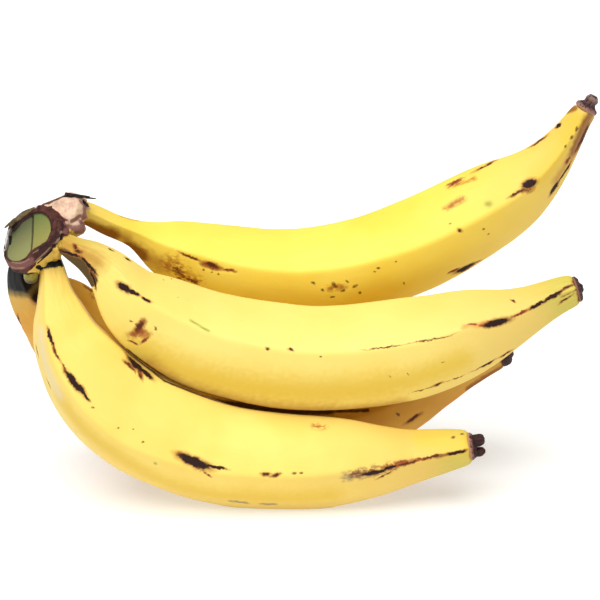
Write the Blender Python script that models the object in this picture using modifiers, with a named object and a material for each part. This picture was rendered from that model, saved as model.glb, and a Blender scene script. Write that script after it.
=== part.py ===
"""A hand of four plantains joined at their cut crown, lying curved side down, with +Z up."""
import math

import bmesh
import bpy
import numpy as np
from mathutils import Vector

MM = 0.001  # every size below is in millimetres
GAP = 0.3  # clearance between neighbouring pieces

# Middle line of each fruit from the crown to its flower end: x, y, z and the radius there
FRUITS = {
    "fruit_upper_rear": (
        (-112, 2, 145.5, 4.8), (-106, 6, 142.3, 5.2), (-95, 11, 135.3, 5.7), (-83, 17, 128.3, 7.0),
        (-71, 22, 120.5, 12.8), (-51, 26, 112, 18.5), (-26, 28, 105.5, 21.3), (0, 29, 103.5, 22.5),
        (26, 30, 107, 22.9), (51, 31, 115, 22.9), (72, 31, 125, 22.5), (92.5, 31, 137, 21.1),
        (108.5, 32, 147, 18.4), (121.2, 32, 158, 13.4), (132, 33, 171, 9.0), (140, 33, 183.5, 6.6),
        (143.2, 33, 188.7, 6.0)),
    "fruit_upper_front": (
        (-119.5, -15, 136.8, 3.6), (-114, -18, 133.7, 5.0), (-109, -20, 131.2, 6.2),
        (-102.5, -21, 127.8, 8.0), (-92.5, -21, 119, 11.6), (-83, -20, 105.8, 17.2), (-69, -17, 94, 21.6),
        (-49.5, -15, 83.5, 24.0), (-25, -14, 76.5, 25.0), (0, -14, 73, 25.2), (25, -14, 73.5, 25.0),
        (49.5, -15, 77.5, 24.4), (69, -16, 82.5, 22.7), (89, -17, 90, 19.0), (104, -18, 96, 13.8),
        (118, -18, 102.7, 10.0), (129.5, -19, 108.6, 7.9), (135, -19, 110.5, 6.9)),
    "fruit_lower_front": (
        (-123, -11, 130, 3.6), (-122, -13, 123, 5.6), (-121, -15, 117, 6.9), (-120, -18, 110, 8.7),
        (-118, -21, 100.5, 12.7), (-114.3, -24, 87, 17.8), (-108, -26, 75, 21.6), (-98.5, -27, 61, 24.2),
        (-85, -28, 47.3, 25.3), (-64.5, -28, 35.6, 25.2), (-42, -28, 27.7, 24.9), (-20, -28, 24.5, 24.4),
        (5, -28, 23.4, 23.3), (25, -29, 24.3, 20.7), (42, -30, 25.3, 16.6), (57, -30, 27.3, 13.0),
        (72, -31, 30.7, 10.4), (84, -32, 33, 8.0)),
    "fruit_lower_rear": (
        (-137.5, -1, 121, 4.4), (-139.3, 2, 114.5, 5.8), (-138.7, 6, 107.5, 8.2), (-134.4, 12, 98.5, 13.2),
        (-124.7, 18, 87.3, 19.4), (-110.5, 21, 68.5, 22.5), (-93.5, 23, 50, 23.8), (-67.5, 23.5, 33.1, 24.3),
        (-42, 24, 25.8, 24.4), (-16, 24, 23.4, 24.3), (10.5, 24, 25.1, 23.7), (31, 23, 30, 21.8),
        (49.5, 21, 37, 18.2), (64.5, 20, 45.5, 14.6), (80, 19, 54, 11.4), (92.5, 18, 60, 8.8),
        (103, 17, 63.8, 6.6)),
}
RIDGES = (0, 85, 155, 215, 275)  # degrees round the section, from the ridge that faces the front
# Degrees that the first ridge stands above the front at the crown end, the middle and the flower end
RIDGE_TURN = {
    "fruit_upper_rear": (28, 18, -4),
    "fruit_upper_front": (34, 26, 22),
    "fruit_lower_front": (-26, 0, 12),
    "fruit_lower_rear": (10, 12, 20),
}
RIDGE_POWER = 14  # a higher power makes flatter sides and sharper ridges
ROUND_REACH = 0.98  # radius factor of the round section that is blended in
FLAT_REACH = 1.12  # radius factor of the five-sided section, out to the middle of its sides
MIDDLE_SHARPNESS = 0.45  # share of the five-sided section at the middle of a fruit
END_SHARPNESS = 0.75  # and at both its ends
FRUIT_RINGS = 50
FRUIT_SIDES = 24
REST_CUT = 0.9  # the skin below this height is pressed flat on the floor

# A finger that never grew hangs under the crown: distance from its root and radius
STUB_ROOT = (-131.5, -12.0, 125.0)
STUB_TIP = (-134.4, -13.2, 112.0)
STUB_PROFILE = ((0, 2.8), (6, 3.5), (10.5, 3.3), (13.2, 1.8))

# The crown: a slab behind the cut face, with a lobe that reaches out to a collar round each neck
FACE_CENTRE = np.array((-133.4, -10.5, 134.3))
FACE_NORMAL = (-0.58, -0.56, 0.59)
FACE_LONG_WAY = (0.66, 0.10, 0.745)
FACE_RADIUS = 19.2
SLAB = ((0.0, 0.92), (2.0, 1.0), (6.0, 0.97), (13.0, 0.68))  # depth behind the face, share of its radius
CROWN_SIDES = 20
SMOOTH_ANGLE = math.radians(35)  # edges sharper than this are shaded as edges
LOBE_ROOT = 12.5  # radius of a lobe where it leaves the slab
LOBE_DEPTH = 3.0  # how far behind the face the first lobe starts
LOBE_STEP = 0.7  # each further lobe starts this much deeper, so that no two roots share a plane
COLLARS = {  # how far along the fruit its collar ends, and the collar's wall round the neck
    "fruit_upper_rear": (6.5, 2.8),
    "fruit_upper_front": (4, 1.5),
    "fruit_lower_front": (3.5, 1.4),
    "fruit_lower_rear": (5, 1.8),
}
COLLAR_LENGTH = 3.0
LINE_PLACES = 300  # places looked at along a line to find one at a given distance
SHOULDER = (np.array((-115.5, -1.0, 144.8)), 10.0)  # centre and radius where the rear lobe is widest
SOCKET_RINGS = 7  # rings of each fruit that its socket in the crown takes in
# Slivers of dry bract on the crown: root, tip and width at the root
SCALES = (
    ((-112.5, 2, 151.8), (-101.7, 8, 149.8), 4.5),
    ((-120, 0, 151.2), (-113.5, 3, 154), 4.5),
    ((-140.5, 3, 139.5), (-146, 0, 137.3), 4.5),
)
SCALE_SINK = 4.0  # how far a sliver's root runs back into the crown
SCALE_ROOT_SIDES = (-3.0, 0.6)  # its under and upper side at the root, from its middle line
SCALE_MIDDLE_SIDES = (-0.6, 0.5)  # and half way to its tip

# Dried flower ends: distance past the fruit's end, and radius there
DRY_ENDS = {
    "fruit_upper_rear": ((0, 5.6), (1.4, 5.4), (2.8, 3.7), (4.0, 3.0), (5.6, 3.1), (7.2, 2.5), (8.0, 1.2)),
    "fruit_upper_front": ((0, 6.3), (0.8, 6.1), (1.8, 4.6), (2.4, 2.4)),
    "fruit_lower_front": ((0, 6.8), (1.2, 6.2), (2.6, 5.0), (3.0, 4.0)),
    "fruit_lower_rear": ((0, 6.3), (2.0, 6.3), (4.2, 5.3), (5.2, 3.3)),
}
# Two knobs stand on the end of the lower front fruit: height above its middle line, radius and length
KNOBS = ((2.9, 3.1, 7.6), (-3.3, 2.4, 7.0))
KNOB_SHAPE = ((0.1, 0.9), (0.45, 1.0), (0.8, 0.9), (1.0, 0.45))  # shares of its length and radius
TURNED_SIDES = 12
MERGE = 0.00001  # turned points closer than this are one point

SKIN_COLOUR = (0.90, 0.68, 0.10)
CROWN_COLOUR = (0.30, 0.17, 0.12)
STUB_COLOUR = (0.45, 0.42, 0.10)
DRY_COLOUR = (0.06, 0.03, 0.025)


def clear_scene():
    for item in list(bpy.data.objects):
        bpy.data.objects.remove(item, do_unlink=True)


def material(name, colour, roughness):
    made = bpy.data.materials.new(name)
    made.use_nodes = True
    shader = made.node_tree.nodes["Principled BSDF"]
    shader.inputs["Base Color"].default_value = (*colour, 1.0)
    shader.inputs["Roughness"].default_value = roughness
    shader.inputs["Metallic"].default_value = 0.0
    return made


def unit(vector):
    return np.array(vector) / np.linalg.norm(vector)


def smooth_line(points, count):
    """Evenly spaced places on the natural cubic spline through the points, radius included."""
    points = np.array(points, dtype=float)
    gaps = np.linalg.norm(np.diff(points[:, :3], axis=0), axis=1)
    knots = np.concatenate(([0.0], np.cumsum(gaps)))
    last = len(points) - 1
    system = np.eye(last + 1)
    right = np.zeros_like(points)
    for i in range(1, last):
        before, after = gaps[i - 1], gaps[i]
        system[i, i - 1:i + 2] = before, 2 * (before + after), after
        right[i] = 6 * ((points[i + 1] - points[i]) / after - (points[i] - points[i - 1]) / before)
    bend = np.linalg.solve(system, right)
    along = np.linspace(0.0, knots[-1], count)
    span = np.clip(np.searchsorted(knots, along, side="right") - 1, 0, last - 1)
    width = gaps[span][:, None]
    start = (knots[span + 1] - along)[:, None] / width
    end = 1 - start
    curve = (start ** 3 - start) * bend[span] + (end ** 3 - end) * bend[span + 1]
    return start * points[span] + end * points[span + 1] + curve * width ** 2 / 6


def line_frames(line):
    """Unit vectors along a line, towards the front and towards its hollow side, one row a ring."""
    ahead = np.gradient(line[:, :3], axis=0)
    ahead /= np.linalg.norm(ahead, axis=1)[:, None]
    front = np.array((0.0, -1.0, 0.0)) + ahead * ahead[:, 1:2]
    front /= np.linalg.norm(front, axis=1)[:, None]
    return ahead, front, np.cross(front, ahead)


def ridged_section(angles, sharpness):
    """Radius factor round a five-ridged section: a circle blended with a round-cornered polygon."""
    ridges = np.radians(RIDGES)
    widths = np.diff(np.append(ridges, ridges[0] + 2 * math.pi))
    total = np.zeros_like(angles)
    for ridge, width in zip(ridges, widths):
        facing = np.maximum(0.0, np.cos(angles - ridge - width / 2))
        total += (facing / math.cos(width / 2)) ** RIDGE_POWER
    polygon = total ** (-1 / RIDGE_POWER)
    return (1 - sharpness) * ROUND_REACH + sharpness * polygon * FLAT_REACH


def fruit_rings(name, grow=0.0):
    """Points of every ring of a fruit; grow makes it larger all round, for its socket."""
    line = smooth_line(FRUITS[name], FRUIT_RINGS)
    ahead, front, hollow = line_frames(line)
    share = np.linspace(0.0, 1.0, FRUIT_RINGS)
    turns = np.radians(np.interp(share, (0.0, 0.5, 1.0), RIDGE_TURN[name]))
    sharpness = MIDDLE_SHARPNESS + (END_SHARPNESS - MIDDLE_SHARPNESS) * np.abs(2 * share - 1) ** 3
    sides = np.linspace(0.0, 2 * math.pi, FRUIT_SIDES, endpoint=False)
    rings = []
    for i in range(FRUIT_RINGS):
        reach = line[i, 3] * ridged_section(sides, sharpness[i]) + grow
        angles = sides + turns[i]
        across = np.cos(angles)[:, None] * front[i] + np.sin(angles)[:, None] * hollow[i]
        rings.append(line[i, :3] + across * reach[:, None])
    rings[0] -= ahead[0] * grow
    return rings


def round_ring(centre, first, second, radius):
    angles = np.linspace(0.0, 2 * math.pi, CROWN_SIDES, endpoint=False)
    return centre + (np.cos(angles)[:, None] * first + np.sin(angles)[:, None] * second) * radius


def finish(name, body, collection):
    mesh = bpy.data.meshes.new(name)
    body.to_mesh(mesh)
    body.free()
    mesh.shade_smooth()
    mesh.set_sharp_from_angle(angle=SMOOTH_ANGLE)
    made = bpy.data.objects.new(name, mesh)
    collection.objects.link(made)
    return made


def loft(name, rings, collection):
    """Closed body through rings of points that all have the same number of sides."""
    body = bmesh.new()
    loops = [[body.verts.new(Vector(point) * MM) for point in ring] for ring in rings]
    for lower, upper in zip(loops, loops[1:]):
        for i in range(len(lower)):
            j = (i + 1) % len(lower)
            body.faces.new((lower[i], lower[j], upper[j], upper[i]))
    body.faces.new(loops[0])
    body.faces.new(loops[-1])
    bmesh.ops.recalc_face_normals(body, faces=body.faces)
    bmesh.ops.triangulate(body, faces=body.faces)
    return finish(name, body, collection)


def hull(name, points, collection):
    """Tight convex body round the points."""
    body = bmesh.new()
    for point in points:
        body.verts.new(Vector(point) * MM)
    bmesh.ops.convex_hull(body, input=body.verts)
    loose = [point for point in body.verts if not point.link_faces]
    bmesh.ops.delete(body, geom=loose, context="VERTS")
    bmesh.ops.recalc_face_normals(body, faces=body.faces)
    return finish(name, body, collection)


def turned(name, profile, foot, along, collection):
    """Body turned round an axis from a profile of distances along it and radii."""
    outline = bmesh.new()
    rim = [(radius, distance) for distance, radius in profile]
    outside = [(0.0, rim[-1][1]), *reversed(rim), (0.0, rim[0][1])]
    corners = [outline.verts.new((radius * MM, 0.0, height * MM)) for radius, height in outside]
    for pair in zip(corners, corners[1:]):
        outline.edges.new(pair)
    body = finish(name, outline, collection)
    body.location = Vector(foot) * MM
    body.rotation_euler = Vector(along).to_track_quat("Z", "Y").to_euler()
    screw = body.modifiers.new("turn", "SCREW")
    screw.steps = screw.render_steps = TURNED_SIDES
    screw.use_merge_vertices = True
    screw.merge_threshold = MERGE
    return body


def combine(target, others, operation):
    """Join the others to the target or cut them from it, one by one, and remove them."""
    for other in others:
        step = target.modifiers.new(other.name, "BOOLEAN")
        step.operation = operation
        step.object = other
        shape = bpy.context.evaluated_depsgraph_get()
        shape.update()
        result = bpy.data.meshes.new_from_object(target.evaluated_get(shape))
        target.modifiers.clear()
        target.data = result
        bpy.data.objects.remove(other, do_unlink=True)


def build_fruit(name, collection):
    rings = fruit_rings(name)
    for ring in rings:
        ring[ring[:, 2] < REST_CUT, 2] = 0.0
    return loft(name, rings, collection)


def crown_slab(long_way, short_way, normal, collection):
    rings = [round_ring(FACE_CENTRE - normal * depth, long_way, short_way, FACE_RADIUS * share)
             for depth, share in SLAB]
    return hull("crown", np.vstack(rings), collection)


def crown_lobe(name, depth, long_way, short_way, normal, collection):
    """One lobe of the crown, from inside the slab to the collar round a fruit's neck."""
    root = round_ring(FACE_CENTRE - normal * depth, long_way, short_way, LOBE_ROOT)
    distance, wall = COLLARS[name]
    line = smooth_line(FRUITS[name], LINE_PLACES)
    ahead, front, hollow = line_frames(line)
    gone = np.cumsum(np.linalg.norm(np.diff(line[:, :3], axis=0), axis=1))
    place = int(np.searchsorted(gone, distance))
    reach = line[place, 3] + wall
    collar = [round_ring(line[place, :3] - ahead[place] * back, front[place], hollow[place], reach)
              for back in (0.0, COLLAR_LENGTH)]
    if name == "fruit_upper_rear":
        collar.append(round_ring(SHOULDER[0], front[0], hollow[0], SHOULDER[1]))
    return hull("lobe", np.vstack((root, *collar)), collection)


def crown_scale(root, tip, width, collection):
    """A pointed sliver with its broad root sunk in the crown."""
    root, tip = np.array(root, dtype=float), np.array(tip, dtype=float)
    run = unit(tip - root)
    side = unit(np.cross(run, (0, 0, 1)))
    rise = np.cross(side, run)
    points = [tip]
    for edge in (-1, 1):
        points += [root - run * SCALE_SINK + side * edge * width / 2 + rise * height
                   for height in SCALE_ROOT_SIDES]
        points += [(root + tip) / 2 + side * edge * width / 3 + rise * height
                   for height in SCALE_MIDDLE_SIDES]
    return hull("scale", points, collection)


def build_stub(name, grow, collection):
    profile = [(distance, radius + grow) for distance, radius in STUB_PROFILE]
    along = unit(np.subtract(STUB_TIP, STUB_ROOT))
    return turned(name, profile, STUB_ROOT - along * grow, along, collection)


def build_crown(collection):
    normal = unit(FACE_NORMAL)
    long_way = unit(np.array(FACE_LONG_WAY) - normal * np.dot(FACE_LONG_WAY, normal))
    axes = (long_way, np.cross(normal, long_way), normal)
    crown = crown_slab(*axes, collection)
    lobes = [crown_lobe(name, LOBE_DEPTH + LOBE_STEP * i, *axes, collection)
             for i, name in enumerate(COLLARS)]
    combine(crown, lobes, "UNION")
    combine(crown, [crown_scale(*scale, collection) for scale in SCALES], "UNION")
    sockets = [loft("socket", fruit_rings(name, GAP)[:SOCKET_RINGS], collection) for name in FRUITS]
    sockets.append(build_stub("socket", GAP, collection))
    combine(crown, sockets, "DIFFERENCE")
    return crown


def build_dry_end(name, collection):
    line = smooth_line(FRUITS[name], FRUIT_RINGS)
    ahead, front, hollow = (vectors[-1] for vectors in line_frames(line))
    end = line[-1, :3] + ahead * GAP
    dry_end = turned(name.replace("fruit", "dry_end"), DRY_ENDS[name], end, ahead, collection)
    if name == "fruit_lower_front":
        knobs = []
        for height, radius, length in KNOBS:
            profile = [(length * far, radius * wide) for far, wide in KNOB_SHAPE]
            knobs.append(turned("knob", profile, end + hollow * height, ahead, collection))
        combine(dry_end, knobs, "UNION")
    return dry_end


def main():
    clear_scene()
    plantains = bpy.data.collections.new("plantain_hand")
    bpy.context.scene.collection.children.link(plantains)
    skin = material("plantain_skin", SKIN_COLOUR, 0.42)
    stalk = material("crown_stalk", CROWN_COLOUR, 0.8)
    stub = material("stub_skin", STUB_COLOUR, 0.55)
    dry = material("dry_flower_end", DRY_COLOUR, 0.85)
    for name in FRUITS:
        build_fruit(name, plantains).data.materials.append(skin)
        build_dry_end(name, plantains).data.materials.append(dry)
    build_stub("stub_finger", 0.0, plantains).data.materials.append(stub)
    build_crown(plantains).data.materials.append(stalk)


main()
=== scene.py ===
"""Looks of a hand of four plantains: their skins, the cut crown, the dried flower ends and the studio."""
import math
import random

import bmesh
import bpy
import numpy as np
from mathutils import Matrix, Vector, noise
from mathutils.bvhtree import BVHTree


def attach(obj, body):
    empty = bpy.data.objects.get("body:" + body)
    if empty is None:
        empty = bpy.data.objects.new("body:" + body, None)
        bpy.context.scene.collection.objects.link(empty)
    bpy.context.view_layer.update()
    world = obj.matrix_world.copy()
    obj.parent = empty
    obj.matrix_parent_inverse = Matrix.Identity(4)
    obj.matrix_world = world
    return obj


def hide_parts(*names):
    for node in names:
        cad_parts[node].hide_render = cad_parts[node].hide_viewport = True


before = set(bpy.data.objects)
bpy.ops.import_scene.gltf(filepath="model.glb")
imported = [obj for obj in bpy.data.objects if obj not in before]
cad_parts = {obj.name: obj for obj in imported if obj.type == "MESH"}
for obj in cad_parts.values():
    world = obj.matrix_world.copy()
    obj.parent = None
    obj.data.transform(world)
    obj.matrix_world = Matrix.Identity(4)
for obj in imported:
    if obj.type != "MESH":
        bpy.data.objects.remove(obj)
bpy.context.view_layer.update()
MM = 0.001  # lengths are in millimetres unless a comment says metres, and meshes are in metres

# The camera looks a little down at the front of the hand
IMAGE_SIZE = 600  # pixels each way
FOCAL_LENGTH = 2000  # in pixels
SENSOR_WIDTH = 36.0
CAMERA_TILT = math.radians(18.0)
CAMERA_DISTANCE = 1000.0
AIM = np.array((0.0, 0.0, 98.9))
AHEAD = np.array((0.0, math.cos(CAMERA_TILT), -math.sin(CAMERA_TILT)))
UP = np.array((0.0, math.sin(CAMERA_TILT), math.cos(CAMERA_TILT)))
RIGHT = np.array((1.0, 0.0, 0.0))
EYE = AIM - AHEAD * CAMERA_DISTANCE

# The floor glows like a light table, so that the shadow stays pale
FLOOR_SIZE = 8.0  # metres
WHITE = (1.0, 1.0, 1.0, 1.0)
FLOOR_VALUES = {
    "Base Color": (0.62, 0.62, 0.61, 1.0), "Roughness": 0.9, "Specular IOR Level": 0.0,
    "Emission Color": WHITE, "Emission Strength": 0.45}
WORLD_STRENGTH = 0.28
# Lights: place in metres, how many degrees wide, and strength
LIGHTS = {
    "key": ((-0.22, -0.52, 1.35), 54.0, 3.65),
    "front": ((0.3, -1.7, 0.6), 50.0, 0.12),
}

# Middle line of each fruit from the crown to its flower end: x, y, z and the radius there
FRUITS = {
    "fruit_upper_rear": (
        (-112, 2, 145.5, 4.8), (-106, 6, 142.3, 5.2), (-95, 11, 135.3, 5.7), (-83, 17, 128.3, 7.0),
        (-71, 22, 120.5, 12.8), (-51, 26, 112, 18.5), (-26, 28, 105.5, 21.3), (0, 29, 103.5, 22.5),
        (26, 30, 107, 22.9), (51, 31, 115, 22.9), (72, 31, 125, 22.5), (92.5, 31, 137, 21.1),
        (108.5, 32, 147, 18.4), (121.2, 32, 158, 13.4), (132, 33, 171, 9.0), (140, 33, 183.5, 6.6),
        (143.2, 33, 188.7, 6.0)),
    "fruit_upper_front": (
        (-119.5, -15, 136.8, 3.6), (-114, -18, 133.7, 5.0), (-109, -20, 131.2, 6.2),
        (-102.5, -21, 127.8, 8.0), (-92.5, -21, 119, 11.6), (-83, -20, 105.8, 17.2), (-69, -17, 94, 21.6),
        (-49.5, -15, 83.5, 24.0), (-25, -14, 76.5, 25.0), (0, -14, 73, 25.2), (25, -14, 73.5, 25.0),
        (49.5, -15, 77.5, 24.4), (69, -16, 82.5, 22.7), (89, -17, 90, 19.0), (104, -18, 96, 13.8),
        (118, -18, 102.7, 10.0), (129.5, -19, 108.6, 7.9), (135, -19, 110.5, 6.9)),
    "fruit_lower_front": (
        (-123, -11, 130, 3.6), (-122, -13, 123, 5.6), (-121, -15, 117, 6.9), (-120, -18, 110, 8.7),
        (-118, -21, 100.5, 12.7), (-114.3, -24, 87, 17.8), (-108, -26, 75, 21.6), (-98.5, -27, 61, 24.2),
        (-85, -28, 47.3, 25.3), (-64.5, -28, 35.6, 25.2), (-42, -28, 27.7, 24.9), (-20, -28, 24.5, 24.4),
        (5, -28, 23.4, 23.3), (25, -29, 24.3, 20.7), (42, -30, 25.3, 16.6), (57, -30, 27.3, 13.0),
        (72, -31, 30.7, 10.4), (84, -32, 33, 8.0)),
    "fruit_lower_rear": (
        (-137.5, -1, 121, 4.4), (-139.3, 2, 114.5, 5.8), (-138.7, 6, 107.5, 8.2), (-134.4, 12, 98.5, 13.2),
        (-124.7, 18, 87.3, 19.4), (-110.5, 21, 68.5, 22.5), (-93.5, 23, 50, 23.8), (-67.5, 23.5, 33.1, 24.3),
        (-42, 24, 25.8, 24.4), (-16, 24, 23.4, 24.3), (10.5, 24, 25.1, 23.7), (31, 23, 30, 21.8),
        (49.5, 21, 37, 18.2), (64.5, 20, 45.5, 14.6), (80, 19, 54, 11.4), (92.5, 18, 60, 8.8),
        (103, 17, 63.8, 6.6)),
}
RIDGES = (0, 85, 155, 215, 275)  # degrees round the section, from the ridge that faces the front
RIDGE_TURN = {  # degrees that the first ridge stands above the front at the crown end, middle, flower end
    "fruit_upper_rear": (28, 18, -4),
    "fruit_upper_front": (34, 26, 22),
    "fruit_lower_front": (-26, 0, 12),
    "fruit_lower_rear": (10, 12, 20),
}
RIDGE_POWER = 26
ROUND_REACH = 0.98
FLAT_REACH = 1.125
MIDDLE_SHARPNESS = 0.55
END_SHARPNESS = 0.78
TIP_ROUND = 4.0  # the skin draws in over this length before the dry end
TIP_SHRINK = 0.15
SKIN_RINGS = 360
SKIN_SIDES = 144
REST_EASE = 1.8  # the skin eases flat onto the floor from this height down
SKIN_SEEDS = {
    "fruit_upper_rear": 11, "fruit_upper_front": 23, "fruit_lower_front": 37, "fruit_lower_rear": 53}

# Where a skin swells a little towards its neighbour: share along, half its reach, degrees round, height in mm
SWELLS = {"fruit_lower_front": (0.42, 0.24, 100, 2.3)}
SWELL_ROUND = 60  # degrees round the section that a swelling reaches each way

# Noise that lifts a surface: scale per mm, seed and height in mm
SKIN_DENTS = ((0.035, 0, 0.5), (0.11, 7, 0.14))
SKIN_WRINKLES = (((0.025, 0.5, 0.5), 3, 0.26),)
WRINKLED_NECK = (0.2, 0.06)  # shares of the length where the wrinkles begin and are full
WRINKLED_TIP = (0.9, 0.985)
DENTS_LOST = 0.5  # share of the dents that the wrinkles take away
SOFT_EDGE = ((0.45, 71, 0.18),)  # its height is a share of a mark's half width
CROWN_LUMPS = ((0.22, 5, 0.5), (0.7, 9, 0.25))
CROWN_FIBRES = ((1.6, 31, 0.08),)
COLLAR_TEARS = ((0.55, 60, 1.8),)
END_FOLDS = ((1.0, 0, 0.4),)
END_GRAIN = ((1.3, 1, 0.14),)
STUB_LUMPS = ((0.4, 3, 0.10),)  # its height is a share of the stub's radius

# Noise in the materials: scale per mm, detail and roughness
NOISES = {
    "skin clouds": (0.14, 4.0, 0.6),
    "skin blotches": (0.03, 2.0, 0.5),
    "skin flecks": (0.9, 2.0, 0.6),
    "skin fibres": (1.1, 3.0, 0.55),
    "skin pores": (1.6, 2.0, 0.6),
    "mark edge": (0.8, 2.0, 0.5),
    "mark drift": (0.22, 2.0, 0.5),
    "mark holes": (0.55, 4.0, 0.65),
    "neck edge": (0.5, 3.0, 0.6),
    "crown grain": (1.4, 4.0, 0.65),
    "crown patches": (0.3, 3.0, 0.6),
    "crown cells": (0.7, 3.0, 0.7),
    "bract": (1.1, 3.0, 0.6),
    "flower end": (1.8, 4.0, 0.65),
    "small finger": (0.9, 3.0, 0.6),
}
# Finish of each material: roughness, height of its bump in mm, and specular level
FINISHES = {
    "skin": (0.38, 0.12, 0.22),
    "crown": (0.5, 0.35, 0.12),
    "bract": (0.8, 0.25, 0.1),
    "flower end": (0.55, 0.35, 0.2),
    "small finger": (0.5, 0.3, 0.5),
}
CLOUD_ROUGHNESS = 0.14
SCAR_ROUGHNESS = 0.3
CELL_ROUGHNESS = 0.3

# Colour of each skin, its deeper patches, and how green its tip is
SKIN_COLOURS = {
    "fruit_upper_rear": ((0.92, 0.685, 0.095), (0.90, 0.63, 0.070), 0.15),
    "fruit_upper_front": ((0.88, 0.690, 0.180), (0.87, 0.655, 0.155), 0.6),
    "fruit_lower_front": ((0.86, 0.640, 0.145), (0.84, 0.590, 0.115), 0.55),
    # The lower rear fruit's colours are painted darker and more orange than the others, a painted shade where
    # it lies under them
    "fruit_lower_rear": ((0.74, 0.410, 0.055), (0.64, 0.310, 0.030), 0.15),
}
SKIN_PALE = (0.88, 0.72, 0.20)
SKIN_GREEN = (0.46, 0.46, 0.06)
SKIN_DULL = (0.70, 0.46, 0.10)
REAR_END_SHADE = (0.62, 0.30, 0.035)  # painted shade: the lower rear fruit is painted more orange towards its flower end, where it lies under the other fruits
# Colour of each neck, and its share
SKIN_NECKS = {
    "fruit_upper_rear": ((0.74, 0.54, 0.15), 0.5),
    "fruit_upper_front": ((0.55, 0.385, 0.06), 0.95),
    "fruit_lower_front": ((0.68, 0.46, 0.09), 0.6),
    "fruit_lower_rear": ((0.56, 0.41, 0.12), 0.8),
}
TONE_SPAN = (0.35, 0.7)  # noise where the skin's colour ends and the deeper one is full
# Spots of noise on the skin: the noise where they begin and are full, their share and their colour
CLOUD_SPOTS = (0.5, 0.8, 0.2, SKIN_PALE)
FLECK_SPOTS = (0.68, 0.8, 0.3, (0.45, 0.24, 0.03))
SEED_STEP = 10.0  # mm between the noise of skins whose seeds differ by one
CLOUD_STRETCH = (0.25, 1.0, 1.0)
CLOUD_PUSH = 14.0  # mm that the clouds shift the edges of the bands along the fruit
DULL_SPAN = (0.62, 1.02)  # shares of the fruit's length
DULL_SHARE = 0.75
GREEN_SPAN = (-22, 4)  # mm past the fruit's end
NECK_SPAN = (42, 12)  # mm from the crown
NECK_TEAR = 3.0  # mm that noise tears the edges of the neck bands
FIBRE_STRETCH = (0.05, 1.0, 1.0)
FIBRE_HEIGHT = 0.6
PORE_HEIGHT = 0.35
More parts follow.
